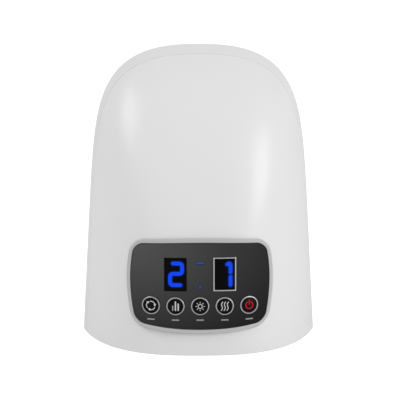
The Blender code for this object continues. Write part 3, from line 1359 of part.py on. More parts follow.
valve_reach = manifold_face - 2 * VALVE_RADIUS
valve_foot = Vector((manifold_middle, -valve_reach, manifold_high + FIT_GAP))
upward = Matrix.Translation(valve_foot)
valve_bore = VALVE_RADIUS - VALVE_WALL
stem_bore = PLUNGER_STEM_RADIUS + FIT_GAP
collar_foot = VALVE_LENGTH - VALVE_WALL
builder = bmesh.new()
add_turned(builder, [(0, 0), (VALVE_RADIUS, 0), (VALVE_RADIUS, VALVE_LENGTH),
                     (stem_bore, VALVE_LENGTH), (stem_bore, collar_foot),
                     (valve_bore, collar_foot), (valve_bore, VALVE_WALL), (0, VALVE_WALL)], upward)
body("exhaust_valve", builder, steel)
builder = bmesh.new()
plunger_head_top = collar_foot - FIT_GAP
plunger_head_foot = plunger_head_top - PLUNGER_HEAD_THICKNESS
stem_top = VALVE_LENGTH + VALVE_TRAVEL + FIT_GAP
add_turned(builder, [(0, plunger_head_foot), (PLUNGER_HEAD_RADIUS, plunger_head_foot),
                     (PLUNGER_HEAD_RADIUS, plunger_head_top), (PLUNGER_STEM_RADIUS, plunger_head_top),
                     (PLUNGER_STEM_RADIUS, stem_top), (0, stem_top)], upward, SMALL_SEGMENTS)
body("valve_plunger", builder, steel, valve_foot)


# Vibration motor across the front of the tub, with its weight on the free end
vibration_reach = resting_reach(TUB_OUT, VIBRATION_HEIGHT, VIBRATION_RADIUS) + VIBRATION_CLEAR
vibration_centre = Vector((0, -vibration_reach, VIBRATION_HEIGHT))
weight_end = (VIBRATION_LENGTH + WEIGHT_GAP + WEIGHT_THICKNESS) / 2
vibration_start = -weight_end
vibration_end = vibration_start + VIBRATION_LENGTH
vibration_axis = along(vibration_centre, vibration_centre + Vector((HOOD_WIDTH, 0, 0)))
weight_bore = WEIGHT_SHAFT_RADIUS + FIT_GAP
builder = bmesh.new()
add_turned(builder, [(0, vibration_start), (VIBRATION_RADIUS, vibration_start),
                     (VIBRATION_RADIUS, vibration_end), (weight_bore, vibration_end),
                     (weight_bore, vibration_end - WEIGHT_SHAFT_SEAT - FIT_GAP),
                     (0, vibration_end - WEIGHT_SHAFT_SEAT - FIT_GAP)], vibration_axis)
body("vibration_motor", builder, steel)
builder = bmesh.new()
weight_start = vibration_end + WEIGHT_GAP
half_disc = [(WEIGHT_RADIUS * math.cos(math.pi * step / SMALL_SEGMENTS),
              -WEIGHT_RADIUS * math.sin(math.pi * step / SMALL_SEGMENTS))
             for step in range(SMALL_SEGMENTS + 1)]
add_prism(builder, half_disc, weight_start, weight_end, vibration_axis)
vibration_weight = body("vibration_weight", builder, steel, vibration_centre)
builder = bmesh.new()
add_turned(builder, [(0, vibration_end - WEIGHT_SHAFT_SEAT),
                     (WEIGHT_SHAFT_RADIUS, vibration_end - WEIGHT_SHAFT_SEAT),
                     (WEIGHT_SHAFT_RADIUS, weight_start - WEIGHT_GAP / 2),
                     (WEIGHT_HUB_RADIUS, weight_start - WEIGHT_GAP / 2),
                     (WEIGHT_HUB_RADIUS, weight_end + WEIGHT_GAP / 2),
                     (0, weight_end + WEIGHT_GAP / 2)], vibration_axis, SMALL_SEGMENTS)
weight_shaft = tool("weight_shaft", builder)
combine(vibration_weight, weight_shaft, "UNION")
saddle("vibration_bracket", vibration_centre, VIBRATION_RADIUS, BRACKET_HALF_HEIGHT,
       BRACKET_WIDTH, (vibration_start + vibration_end) / 2, dark_plastic)


# Air hoses down the bays and through the tub wall to the two air bags
def bay_point(side, reach, height):
    """The middle of a side bay, between tub and hood."""
    inner = half_width_at(TUB_OUT, reach, height)
    outer = half_width_at(HOOD_IN, reach, height)
    return Vector((side * (inner + outer) / 2, -reach, height))


def hose_into_bag(side):
    """The last points of a hose: down the bay, round and in through the wall."""
    lined = inset(TUB_IN, FIT_GAP + LINER_THICKNESS / 2)
    end = half_width_at(lined, HOSE_ENTRY_REACH, HOSE_ENTRY_HEIGHT)
    wall = half_width_at(TUB_OUT, HOSE_ENTRY_REACH, HOSE_ENTRY_HEIGHT)
    entry = Vector((0, -HOSE_ENTRY_REACH, HOSE_ENTRY_HEIGHT))
    turn_height = HOSE_ENTRY_HEIGHT + 3 * HOSE_RADIUS
    return [bay_point(side, CUSHION_FRONT * HOSE_ELBOW_SHARE, (PUMP_HEIGHT + HOSE_ENTRY_HEIGHT) / 2),
            bay_point(side, (CUSHION_FRONT + HOSE_ENTRY_REACH) / 2, turn_height + 4 * HOSE_RADIUS),
            bay_point(side, HOSE_ENTRY_REACH, turn_height),
            entry + Vector((side * (wall + 2 * HOSE_RADIUS), 0, 0)),
            entry + Vector((side * (wall + HOSE_RADIUS / 2), 0, 0)),
            entry + Vector((side * end, 0, 0))]


hose_start_height = manifold_low - FIT_GAP
hose_start_reach = manifold_face - 2 * MANIFOLD_WALL - 2 * HOSE_RADIUS
hose_room = (MANIFOLD_WIDTH - 2 * MANIFOLD_WALL) / 4
right_start = Vector((manifold_middle + hose_room, -hose_start_reach, hose_start_height))
left_start = Vector((manifold_middle - hose_room, -hose_start_reach, hose_start_height))
drop = Vector((0, 0, -2 * HOSE_RADIUS))
cross_height = (PUMP_HEIGHT - PUMP_HEAD_RADIUS + VIBRATION_HEIGHT + VIBRATION_RADIUS) / 2
cross_clear = 3 * HOSE_RADIUS


def side_turn(side):
    """Where a hose turns from the front of the tub into its side bay."""
    across, reach, height = HOSE_SIDE_SHARES
    return Vector((side * TUB_OUT[0] * across, -hose_start_reach * reach, cross_height * height))


tube("right_air_hose", [right_start, right_start + drop / 2, right_start + drop,
                        side_turn(1)]
     + hose_into_bag(1), HOSE_RADIUS, hose_clear)
crossing = []
for share in HOSE_CROSSING_SHARES:
    across = TUB_OUT[0] * share
    reach = reach_at(TUB_OUT, across, cross_height) + cross_clear
    crossing.append(Vector((across, -reach, cross_height)))
tube("left_air_hose", [left_start, left_start + drop / 2, left_start + drop] + crossing
     + [side_turn(-1)] + hose_into_bag(-1), HOSE_RADIUS, hose_clear)


# Leads from the display board up to the control board
lead_across = -DISPLAY_BOARD_HALF_WIDTH * LEAD_START_SHARE
board_top = PANEL @ Vector((lead_across, DISPLAY_BOARD_HALF_HEIGHT + FIT_GAP,
                            (BOARD_FRONT + BOARD_BACK) / 2))
plug_end = Vector((-CONTROL_BOARD_HALF_WIDTH * LEAD_PLUG_SHARE, -board_face_reach - FIT_GAP,
                   board_low + CONTROL_POST_INSET * 2))
lead_middle = Vector((lead_across, -vibration_reach * LEAD_REACH_SHARE, VIBRATION_HEIGHT))
lead_high = Vector((lead_across * LEAD_SPREAD_SHARE, -manifold_face, PUMP_HEIGHT))
tube("board_leads", [board_top, board_top + Vector((0, 0, 6 * LEAD_RADIUS)), lead_middle,
                     lead_high, plug_end + Vector((0, -4 * LEAD_RADIUS, 0)),
                     plug_end + Vector((0, -2 * LEAD_RADIUS, 0)), plug_end],
     LEAD_RADIUS, lead_black)


# Knee side: a fabric liner over the whole tub
liner_outer = inset(TUB_IN, FIT_GAP)
liner_inner = inset(TUB_IN, FIT_GAP + LINER_THICKNESS)
rows = arch_skin(liner_outer, LINER_EDGE) + arch_skin(liner_inner, LINER_EDGE)[::-1]
knee_liner = body("knee_liner", loft(rows), liner_fabric)
combine(knee_liner, cover_passages, "DIFFERENCE")


# Helpers for sheets and pads that lie on the tub
def add_sheet(builder, outer, inner, across_steps, up_steps):
    """A closed sheet between two grids of points, which are functions of two shares."""
    grids = []
    for place in (outer, inner):
        grids.append([[builder.verts.new(place(a / across_steps, b / up_steps))
                       for a in range(across_steps + 1)] for b in range(up_steps + 1)])
    for grid in grids:
        for low_row, high_row in zip(grid, grid[1:]):
            for a in range(across_steps):
                builder.faces.new((low_row[a], low_row[a + 1], high_row[a + 1], high_row[a]))
    rims = []
    for grid in grids:
        rims.append(grid[0][:-1] + [row[-1] for row in grid[:-1]]
                    + grid[-1][:0:-1] + [row[0] for row in grid[:0:-1]])
    join_loops(builder, [(rims[0], rims[1])])


def eased(share):
    """Shares crowded towards both ends, where corners turn."""
    return (1 - math.cos(math.pi * share)) / 2


def corner_inset(low, high, value, corner):
    """How far a round corner draws the side in at a height between two ends."""
    from_end = max(0, min(value - low, high - value))
    if from_end >= corner:
        return 0
    return corner - math.sqrt(corner ** 2 - (corner - from_end) ** 2)


def front_place(offset, margin, thickness=None):
    """A grid on the front of the tub, at an offset from its inner skin."""
    low, high = FRONT_PAD_LOW + margin, FRONT_PAD_HIGH - margin
    form = inset(TUB_IN, offset)

    def place(a, b):
        height = low + (high - low) * eased(b)
        half = FRONT_PAD_HALF_WIDTH - margin
        half -= corner_inset(low, high, height, FRONT_PAD_CORNER - margin)
        across = half * (2 * eased(a) - 1)
        reach = reach_at(form, across, height)
        if thickness:
            reach -= thickness(2 * eased(a) - 1, 2 * eased(b) - 1)
        return Vector((across, -reach, height))
    return place


def pillow(a, b):
    """Share of full thickness at signed shares across and up a cushion."""
    crown = math.sqrt(max(0, 1 - abs(a) ** 3) * max(0, 1 - abs(b) ** 6))
    return CUSHION_EDGE_SHARE + (1 - CUSHION_EDGE_SHARE) * crown


film_offset = FIT_GAP + LINER_THICKNESS + LAYER_GAP
light_board_offset = film_offset + FILM_THICKNESS + FIT_GAP
lens_sheet_offset = light_board_offset + LIGHT_BOARD_THICKNESS + FIT_GAP
pad_offset = lens_sheet_offset + LENS_SHEET_THICKNESS + LAYER_GAP
builder = bmesh.new()
add_sheet(builder, front_place(film_offset, FILM_MARGIN),
          front_place(film_offset + FILM_THICKNESS, FILM_MARGIN), 6, 10)
body("heating_film", builder, film_amber)
builder = bmesh.new()
add_sheet(builder, front_place(light_board_offset, FILM_MARGIN),
          front_place(light_board_offset + LIGHT_BOARD_THICKNESS, FILM_MARGIN), 6, 10)
body("light_board", builder, board_green)
builder = bmesh.new()
add_sheet(builder, front_place(pad_offset, 0),
          front_place(pad_offset, 0, lambda a, b: FRONT_PAD_THICKNESS * pillow(a, b)), 8, 12)
front_pad = body("front_pad", builder, pad_silicone)

lamp_middle = (FRONT_PAD_LOW + FRONT_PAD_HIGH) / 2
pad_tall = FRONT_PAD_HIGH - FRONT_PAD_LOW
lamp_places = [(column * FRONT_PAD_HALF_WIDTH, FRONT_PAD_LOW + row * pad_tall)
               for column in LAMP_COLUMN_SHARES for row in LAMP_ROW_SHARES]
pad_form = inset(TUB_IN, pad_offset)
sheet_form = inset(TUB_IN, lens_sheet_offset + LENS_SHEET_THICKNESS / 2)
builder = bmesh.new()
add_sheet(builder, front_place(lens_sheet_offset, FILM_MARGIN),
          front_place(lens_sheet_offset + LENS_SHEET_THICKNESS, FILM_MARGIN), 6, 10)
light_lenses = body("light_lenses", builder, lamp_red)
holes = bmesh.new()
lamps = bmesh.new()
for across, height in lamp_places:
    root = reach_at(sheet_form, abs(across) + LAMP_RADIUS, height + LAMP_RADIUS)
    a = across / FRONT_PAD_HALF_WIDTH
    b = (height - lamp_middle) / (FRONT_PAD_HIGH - lamp_middle)
    face = reach_at(pad_form, across, height) - FRONT_PAD_THICKNESS * pillow(a, b)
    start = Vector((across, -root, height))
    length = root - face
    place = along(start, start + Vector((0, HOOD_DEPTH, 0)))
    add_turned(lamps, [(0, 0), (LAMP_RADIUS, 0), (LAMP_RADIUS, length), (0, length + LAMP_PROUD)],
               place, SMALL_SEGMENTS)
    add_rod(holes, Vector((across, -root - LAMP_RADIUS * 2, height)),
            Vector((across, -face + LAMP_RADIUS, height)), LAMP_RADIUS + FIT_GAP, SMALL_SEGMENTS)
combine(light_lenses, tool("lamp_domes", lamps), "UNION")
combine(front_pad, tool("lamp_holes", holes), "DIFFERENCE")

sensor_form = inset(TUB_IN, film_offset)
sensor_low = FRONT_PAD_HIGH + LAYER_GAP
builder = bmesh.new()
sensor_high = sensor_low + 2 * SENSOR_HALF_HEIGHT
seat = min(reach_at(sensor_form, side * SENSOR_HALF_WIDTH, sensor_high) for side in (1, -1))
add_box(builder, (-SENSOR_HALF_WIDTH, -seat, sensor_low),
        (SENSOR_HALF_WIDTH, -seat + SENSOR_THICKNESS, sensor_high))
body("temperature_sensor", builder, dark_plastic)


# Side air bags, flat at rest, and the quilted cushions that they push inward
def side_place(side, offset, margin, thickness=None):
    """A grid on a side of the tub, at an offset from its inner skin."""
    form = inset(TUB_IN, offset)
    low, high = CUSHION_LOW + margin, CUSHION_HIGH - margin
    rear, front = CUSHION_REAR + margin, CUSHION_FRONT - margin

    def place(a, b):
        height = low + (high - low) * b
        waist = CUSHION_WAIST * (1 - (2 * b - 1) ** 2)
        pinch = corner_inset(low, high, height, CUSHION_CORNER - margin) + waist
        reach = rear + pinch + (front - rear - 2 * pinch) * eased(a)
        half_width = half_width_at(form, reach, height)
        if thickness:
            half_width -= thickness(2 * eased(a) - 1, b)
        return Vector((side * half_width, -reach, height))
    return place


def cushion_thickness(a, b):
    """Crowned between the edges, with sewn channels across it."""
    sewn = 1
    for share in CHANNEL_SHARES:
        sewn -= CHANNEL_DEPTH_SHARE * math.exp(-((b - share) / CHANNEL_WIDTH_SHARE) ** 2)
    return CUSHION_THICKNESS * pillow(a, 2 * b - 1) * sewn


bag_offset = FIT_GAP + LINER_THICKNESS + LAYER_GAP
cushion_offset = bag_offset + BAG_THICKNESS + LAYER_GAP
for name, side in (("left", -1), ("right", 1)):
    builder = bmesh.new()
    add_sheet(builder, side_place(side, bag_offset, BAG_MARGIN),
              side_place(side, bag_offset + BAG_THICKNESS, BAG_MARGIN), 5, 9)
    body(name + "_air_bag", builder, bag_film)
    middle = side_place(side, cushion_offset, 0)(1 / 2, 1 / 2)
    builder = bmesh.new()
    add_sheet(builder, side_place(side, cushion_offset, 0),
              side_place(side, cushion_offset, 0, cushion_thickness), 8, 25)
    body(name + "_cushion", builder, cushion_fabric, middle)
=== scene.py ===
import functools
import json
import math

import bmesh
import bpy
from mathutils import Matrix, Vector

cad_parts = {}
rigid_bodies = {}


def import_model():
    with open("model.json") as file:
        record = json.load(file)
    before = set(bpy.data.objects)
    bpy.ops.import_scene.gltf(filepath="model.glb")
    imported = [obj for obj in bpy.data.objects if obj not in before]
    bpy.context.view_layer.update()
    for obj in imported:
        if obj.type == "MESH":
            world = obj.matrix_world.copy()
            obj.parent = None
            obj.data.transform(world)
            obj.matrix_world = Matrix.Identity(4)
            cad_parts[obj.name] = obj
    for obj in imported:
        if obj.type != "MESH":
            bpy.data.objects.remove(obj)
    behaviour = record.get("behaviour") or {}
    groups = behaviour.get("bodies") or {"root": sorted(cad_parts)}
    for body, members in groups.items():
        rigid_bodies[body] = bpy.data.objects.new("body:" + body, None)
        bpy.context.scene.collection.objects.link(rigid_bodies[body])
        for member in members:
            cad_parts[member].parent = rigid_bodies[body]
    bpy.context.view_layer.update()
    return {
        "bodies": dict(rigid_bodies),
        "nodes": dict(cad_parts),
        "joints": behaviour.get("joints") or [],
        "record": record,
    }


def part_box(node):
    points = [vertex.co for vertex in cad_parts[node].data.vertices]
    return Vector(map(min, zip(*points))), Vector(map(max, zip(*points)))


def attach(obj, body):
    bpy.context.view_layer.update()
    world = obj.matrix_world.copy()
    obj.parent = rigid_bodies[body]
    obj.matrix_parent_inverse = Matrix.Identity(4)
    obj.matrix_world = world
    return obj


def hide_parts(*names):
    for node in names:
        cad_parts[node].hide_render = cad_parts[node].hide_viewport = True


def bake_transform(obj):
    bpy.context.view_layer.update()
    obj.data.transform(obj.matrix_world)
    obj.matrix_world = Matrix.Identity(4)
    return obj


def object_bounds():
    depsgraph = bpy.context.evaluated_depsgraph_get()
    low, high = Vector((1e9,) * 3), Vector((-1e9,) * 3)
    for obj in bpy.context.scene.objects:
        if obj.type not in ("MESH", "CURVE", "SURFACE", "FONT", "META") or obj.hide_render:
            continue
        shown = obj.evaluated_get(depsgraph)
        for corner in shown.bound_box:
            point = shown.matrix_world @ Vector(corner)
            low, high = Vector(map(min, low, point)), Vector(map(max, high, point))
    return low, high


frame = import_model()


# Front cover: the outer shell of the hood, moulded in glossy white ABS. Its form is a round
# arch that leans in as it rises and shrinks towards the front. Screws through the rear cover
# hold it, and it is cut out in front for the control panel.
HOOD_OUT = (0.0925, 0.2295, 0.084)
COVER_WALL = 0.0026
LEAN_SHARE = 0.139
FRONT_TAPER_SHARE = 0.21
CROWN_POWER = 8.65
SIDE_POWER = 2.56
FRONT_POWER = 2.76
PARTING_REACH = 0.012
LIP_LENGTH = 0.0024
LIP_WALL = 0.001
FIT_GAP = 0.0003
STATIONS = 120
SKIN_ROWS = 44
FINE_STEPS = 1200
SHARP_ANGLE = math.radians(32)
REAR_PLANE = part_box("rear_cover")[1].y


def arch_taper(height_share):
    """Half width of the arch at a height, as a share of its half width at the base."""
    lean = 1 - LEAN_SHARE * height_share
    return lean * max(0, 1 - height_share ** CROWN_POWER) ** (1 / SIDE_POWER)


def arch_scale(reach_share):
    """How far the arch has shrunk at a distance in front of the rear plane."""
    narrowing = 1 - FRONT_TAPER_SHARE * reach_share
    return narrowing * max(0, 1 - reach_share ** FRONT_POWER) ** (1 / FRONT_POWER)


def evenly_spaced(points, count):
    """Points along a quarter arch, at equal steps of its length and its turning together."""
    total = sum(math.dist(start, end) for start, end in zip(points, points[1:]))
    lengths = [0]
    heading = None
    for start, end in zip(points, points[1:]):
        previous = heading
        heading = math.atan2(end[1] - start[1], end[0] - start[0])
        turned = abs(heading - previous) if previous is not None else 0
        lengths.append(lengths[-1] + math.dist(start, end) / total + turned / (math.pi / 2))
    spaced = []
    segment = 0
    for step in range(count + 1):
        wanted = lengths[-1] * step / count
        while segment < len(points) - 2 and lengths[segment + 1] < wanted:
            segment += 1
        share = (wanted - lengths[segment]) / (lengths[segment + 1] - lengths[segment])
        pairs = zip(points[segment], points[segment + 1])
        spaced.append(tuple(a + (b - a) * share for a, b in pairs))
    return spaced


def arch_stations():
    """Stations from the right foot over the top to the left foot, as shares."""
    half_width, height, _ = HOOD_OUT
    fine = []
    for step in range(FINE_STEPS + 1):
        rise = math.sin(math.pi / 2 * step / FINE_STEPS) ** (2 / CROWN_POWER)
        fine.append((half_width * arch_taper(rise), height * rise))
    side = [(across / half_width, up / height)
            for across, up in evenly_spaced(fine, STATIONS // 2)]
    return side + [(-across, up) for across, up in reversed(side[:-1])]


ARCH_STATIONS = arch_stations()


def inset(form, amount):
    """The same arch form made smaller all round."""
    return tuple(size - amount for size in form)


def arch_row(form, reach):
    """One arch of a form at a distance in front of the rear plane."""
    half_width, height, depth = form
    scale = arch_scale(min(1, reach / depth))
    return [Vector((across * half_width * scale, REAR_PLANE - reach, up * height * scale))
            for across, up in ARCH_STATIONS]


def arch_skin(form, first_reach, rows=SKIN_ROWS):
    """Arches from a first reach forward to the single point where they close."""
    half_width, _, depth = form
    start = math.asin((first_reach / depth) ** (FRONT_POWER / 2))
    fine = []
    for step in range(FINE_STEPS + 1):
        angle = start + (math.pi / 2 - start) * step / FINE_STEPS
        reach_share = math.sin(angle) ** (2 / FRONT_POWER)
        fine.append((depth * reach_share, half_width * arch_scale(reach_share)))
    reaches = [point[0] for point in evenly_spaced(fine, rows)]
    pole = [Vector((0, REAR_PLANE - depth, 0))]
    return [arch_row(form, reach) for reach in reaches[:-1]] + [pole]


def half_width_at(form, reach, height):
    """Half width of a form at a reach and a height, or zero outside it."""
    half_width, top, depth = form
    scale = arch_scale(min(1, max(0, reach / depth)))
    if scale <= 0 or height >= top * scale:
        return 0
    return half_width * scale * arch_taper(max(0, height) / (top * scale))


@functools.lru_cache(maxsize=None)
def reach_at(form, across, height):
    """How far a form's skin stands in front of the rear plane, or zero outside it."""
    low, high = 0, form[2]
    for _ in range(30):
        middle = (low + high) / 2
        if half_width_at(form, middle, height) > abs(across):
            low = middle
        else:
            high = middle
    return low


def join_loops(builder, pairs):
    """Faces between pairs of closed loops, one of which may be a single point."""
    for first, second in pairs:
        for step in range(max(len(first), len(second))):
            corners = [first[step % len(first)], first[(step + 1) % len(first)],
                       second[(step + 1) % len(second)], second[step % len(second)]]
            corners = list(dict.fromkeys(corners))
            if len(corners) > 2:
                builder.faces.new(corners)


def loft(rows):
    """A closed body from a closed loop of arches, in which a pole has one point."""
    builder = bmesh.new()
    loops = [[builder.verts.new(point) for point in row] for row in rows]
    for first, second in zip(loops, loops[1:] + loops[:1]):
        for station in range(STATIONS):
            corners = [first[min(station, len(first) - 1)],
                       first[min(station + 1, len(first) - 1)],
                       second[min(station + 1, len(second) - 1)],
                       second[min(station, len(second) - 1)]]
            corners = list(dict.fromkeys(corners))
            if len(corners) > 2:
                builder.faces.new(corners)
    for end in (0, -1):
        builder.faces.new(list(dict.fromkeys(loop[end] for loop in loops)))
    return builder


def set_smooth(piece):
    """Smooth shading that keeps real corners sharp."""
    piece.data.shade_smooth()
    piece.data.set_sharp_from_angle(angle=SHARP_ANGLE)


def new_object(name, builder):
    """A mesh object from a builder, with its faces turned outward."""
    bmesh.ops.recalc_face_normals(builder, faces=builder.faces)
    mesh = bpy.data.meshes.new(name)
    builder.to_mesh(mesh)
    builder.free()
    made = bpy.data.objects.new(name, mesh)
    bpy.context.scene.collection.objects.link(made)
    return made


def make_piece(piece, material, body="housing", replaces=()):
    """Makes an object a piece that moves with a body and stands for its CAD nodes."""
    piece.data.materials.append(material)
    set_smooth(piece)
    if body:
        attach(piece, body)
    if replaces:
        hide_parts(*replaces)
    "slot" in material
    return piece


def new_piece(name, builder, material, body="housing", replaces=()):
    """A piece from a builder. Its body is None where it lies between two bodies and is attached
    to neither.
    """
    return make_piece(new_object(name, builder), material, body, replaces)


def apply_modifiers(piece):
    """Replaces a piece's mesh with what its modifiers make of it."""
    bpy.context.view_layer.update()
    depsgraph = bpy.context.evaluated_depsgraph_get()
    made = bpy.data.meshes.new_from_object(piece.evaluated_get(depsgraph))
    piece.modifiers.clear()
    piece.data = made


def carve(piece, builder, operation="DIFFERENCE"):
    """Cuts, trims or joins a piece with a shape that isn't kept."""
    shape = new_object(piece.name + "_shape", builder)
    modifier = piece.modifiers.new(operation, "BOOLEAN")
    modifier.operation = operation
    modifier.solver = "EXACT"
    modifier.object = shape
    apply_modifiers(piece)
    bpy.data.objects.remove(shape)
    set_smooth(piece)


def principled(name, slot, colour, roughness, **sockets):
    """A material with a Principled shader, whose other sockets are given by name."""
    material = bpy.data.materials.new(name)
    if slot:
        material["slot"] = slot
    material.use_nodes = True
    shader = material.node_tree.nodes["Principled BSDF"]
    shader.inputs["Base Color"].default_value = (*colour, 1)
    shader.inputs["Roughness"].default_value = roughness
    for socket, value in sockets.items():
        shader.inputs[socket.replace("_", " ")].default_value = value
    return material, material.node_tree, shader


def calculate(tree, operation, *values):
    """A Math node over sockets and plain numbers, as its output socket."""
    node = tree.nodes.new("ShaderNodeMath")
    node.operation = operation
    for socket, value in zip(node.inputs, values):
        if isinstance(value, (int, float)):
            socket.default_value = value
        else:
            tree.links.new(value, socket)
    return node.outputs[0]


def new_group(name, inputs, outputs):
    """An empty shader node group with named sockets, and its two end nodes."""
    group = bpy.data.node_groups.new(name, "ShaderNodeTree")
    for socket, (kind, value) in inputs.items():
        made = group.interface.new_socket(socket, in_out="INPUT", socket_type=kind)
        if value is not None:
            made.default_value = value
    for socket, kind in outputs.items():
        group.interface.new_socket(socket, in_out="OUTPUT", socket_type=kind)
    return group, group.nodes.new("NodeGroupInput"), group.nodes.new("NodeGroupOutput")


def noise(tree, vector, scale, detail):
    """The value of a noise texture over a vector, whose scale may be a socket."""
    node = tree.nodes.new("ShaderNodeTexNoise")
    node.inputs["Detail"].default_value = detail
    tree.links.new(vector, node.inputs["Vector"])
    if isinstance(scale, (int, float)):
        node.inputs["Scale"].default_value = scale
    else:
        tree.links.new(scale, node.inputs["Scale"])
    return node.outputs["Fac"]


def shade_colour(tree, colour, brightness):
    """A colour made darker or lighter by a changing value."""
    node = tree.nodes.new("ShaderNodeVectorMath")
    node.operation = "SCALE"
    tree.links.new(colour, node.inputs[0])
    tree.links.new(brightness, node.inputs["Scale"])
    return node.outputs[0]


def skin_group():
    """Moulded and cast surfaces: a fine grain, cloudy gloss and faint colour changes."""
    group, given, made = new_group(
        "surface_skin",
        {"Colour": ("NodeSocketColor", None), "Roughness": ("NodeSocketFloat", 0.4),
         "Grain": ("NodeSocketFloat", 900.0), "Cloud": ("NodeSocketFloat", 24.0),
         "Unevenness": ("NodeSocketFloat", 0.1), "Mottle": ("NodeSocketFloat", 0.02)},
        {"Colour": "NodeSocketColor", "Roughness": "NodeSocketFloat",
         "Height": "NodeSocketFloat"})
    place = group.nodes.new("ShaderNodeTexCoord").outputs["Object"]
    link = group.links.new
    link(noise(group, place, given.outputs["Grain"], 3), made.inputs["Height"])
    cloud = noise(group, place, given.outputs["Cloud"], 2)
    swing = calculate(group, "MULTIPLY_ADD", cloud, 2, -1)
    rougher = calculate(group, "MULTIPLY_ADD", swing, given.outputs["Unevenness"], 1)
    rough = calculate(group, "MULTIPLY", rougher, given.outputs["Roughness"])
    link(rough, made.inputs["Roughness"])
    brightness = calculate(group, "MULTIPLY_ADD", swing, given.outputs["Mottle"], 1)
    shaded = shade_colour(group, given.outputs["Colour"], brightness)
    link(shaded, made.inputs["Colour"])
    return group


surface_skin = skin_group()


def skinned(name, slot, colour, roughness, grain=900.0, depth=0.00001, cloud=24.0,
            unevenness=0.1, mottle=0.02, **sockets):
    """A material whose colour, gloss and fine relief come from the surface group."""
    material, tree, shader = principled(name, slot, colour, roughness, **sockets)
    skin = tree.nodes.new("ShaderNodeGroup")
    skin.node_tree = surface_skin
    for socket, value in (("Colour", (*colour, 1)), ("Roughness", roughness), ("Grain", grain),
                          ("Cloud", cloud), ("Unevenness", unevenness), ("Mottle", mottle)):
        skin.inputs[socket].default_value = value
    bump = tree.nodes.new("ShaderNodeBump")
    bump.inputs["Distance"].default_value = depth
    tree.links.new(skin.outputs["Height"], bump.inputs["Height"])
    tree.links.new(bump.outputs["Normal"], shader.inputs["Normal"])
    tree.links.new(skin.outputs["Colour"], shader.inputs["Base Color"])
    tree.links.new(skin.outputs["Roughness"], shader.inputs["Roughness"])
    return material


HOOD_IN = inset(HOOD_OUT, COVER_WALL)
white_gloss = skinned("glossy_white_abs", "white_gloss", (0.78, 0.78, 0.782), 0.36, grain=420,
                      depth=0.000004, unevenness=0.12, mottle=0.006, Coat_Weight=0.2,
                      Coat_Roughness=0.22)
parting = PARTING_REACH + FIT_GAP
lip_end = parting + LIP_LENGTH
lip_form = inset(HOOD_OUT, LIP_WALL)
cover_rows = arch_skin(HOOD_OUT, parting) + arch_skin(HOOD_IN, lip_end)[::-1]
cover_rows += [arch_row(lip_form, lip_end), arch_row(lip_form, parting)]
front_shell = new_piece("front_cover_shell", loft(cover_rows), white_gloss,
                        replaces=["front_cover"])


# Control panel's place on the front cover: a frame in which u runs across, v up and d out of
# the glass. The glass is bent as the hood is at that height, and its outline has straight
# sides that bulge, a bowed lower edge and four round corners.
PANEL_HEIGHT = HOOD_OUT[1] * 0.2375
PANEL_TILT = math.radians(3.5)
PANEL_PROUD = 0.0015
GLASS_HALF_WIDTH = 0.0528
GLASS_TOP = 0.0315
GLASS_BOTTOM = 0.0284
GLASS_TOP_ROUND = 0.0069
GLASS_BOTTOM_ROUND = 0.0066
GLASS_TOP_BOW = 0.0016
GLASS_BOTTOM_BOW = 0.0047
GLASS_WIDEST = 0.0047
GLASS_TOP_NARROW_SHARE = 0.059
GLASS_BOTTOM_NARROW_SHARE = 0.074
COLLAR_OFFSET = 0.0018
OPENING_SPARE = 0.004
PANEL_REACH = reach_at(HOOD_OUT, 0, PANEL_HEIGHT) + PANEL_PROUD
PANEL = Matrix(((1, 0, 0, 0),
                (0, math.sin(PANEL_TILT), -math.cos(PANEL_TILT), REAR_PLANE - PANEL_REACH),
                (0, math.cos(PANEL_TILT), math.sin(PANEL_TILT), PANEL_HEIGHT),
                (0, 0, 0, 1)))


def glass_drop(across):
    """How far the glass falls back beside its middle."""
    return (reach_at(HOOD_OUT, abs(round(across, 7)), PANEL_HEIGHT)
            - reach_at(HOOD_OUT, 0, PANEL_HEIGHT))


def rounded_outline(half_width, low, high, corner, low_corner=None, corner_steps=10,
                    edge_steps=36):
    """A rectangle with round corners and divided edges, from its lower right corner."""
    low_corner = corner if low_corner is None else low_corner
    centres = [(half_width - low_corner, low + low_corner, low_corner, -90),
               (half_width - corner, high - corner, corner, 0),
               (-half_width + corner, high - corner, corner, 90),
               (-half_width + low_corner, low + low_corner, low_corner, 180)]
    outline = []
    for number, (x, y, radius, start) in enumerate(centres):
        for step in range(corner_steps + 1):
            angle = math.radians(start + 90 * step / corner_steps)
            outline.append((x + radius * math.cos(angle), y + radius * math.sin(angle)))
        next_x, next_y, next_radius, next_start = centres[(number + 1) % 4]
        angle = math.radians(next_start)
        goal = (next_x + next_radius * math.cos(angle), next_y + next_radius * math.sin(angle))
        steps = edge_steps if number in (1, 3) else edge_steps // 2
        here = outline[-1]
        for step in range(1, steps):
            outline.append(tuple(a + (b - a) * step / steps for a, b in zip(here, goal)))
    return outline


def glass_outline(offset):
    """The outline of the glass, made larger all round by an offset."""
    outline = []
    for across, up in rounded_outline(GLASS_HALF_WIDTH + offset, -GLASS_BOTTOM - offset,
                                      GLASS_TOP + offset, GLASS_TOP_ROUND + offset,
                                      GLASS_BOTTOM_ROUND + offset):
        arched = 1 - (across / (GLASS_HALF_WIDTH + offset)) ** 2
        bow = GLASS_TOP_BOW * up / GLASS_TOP if up > 0 else GLASS_BOTTOM_BOW * up / GLASS_BOTTOM
        raised = up + bow * arched
        above = raised - GLASS_WIDEST
        if above > 0:
            narrow = GLASS_TOP_NARROW_SHARE * (above / (GLASS_TOP - GLASS_WIDEST)) ** 2
        else:
            narrow = GLASS_BOTTOM_NARROW_SHARE * (above / (GLASS_BOTTOM + GLASS_WIDEST)) ** 2
        outline.append((across * (1 - narrow), raised))
    return outline


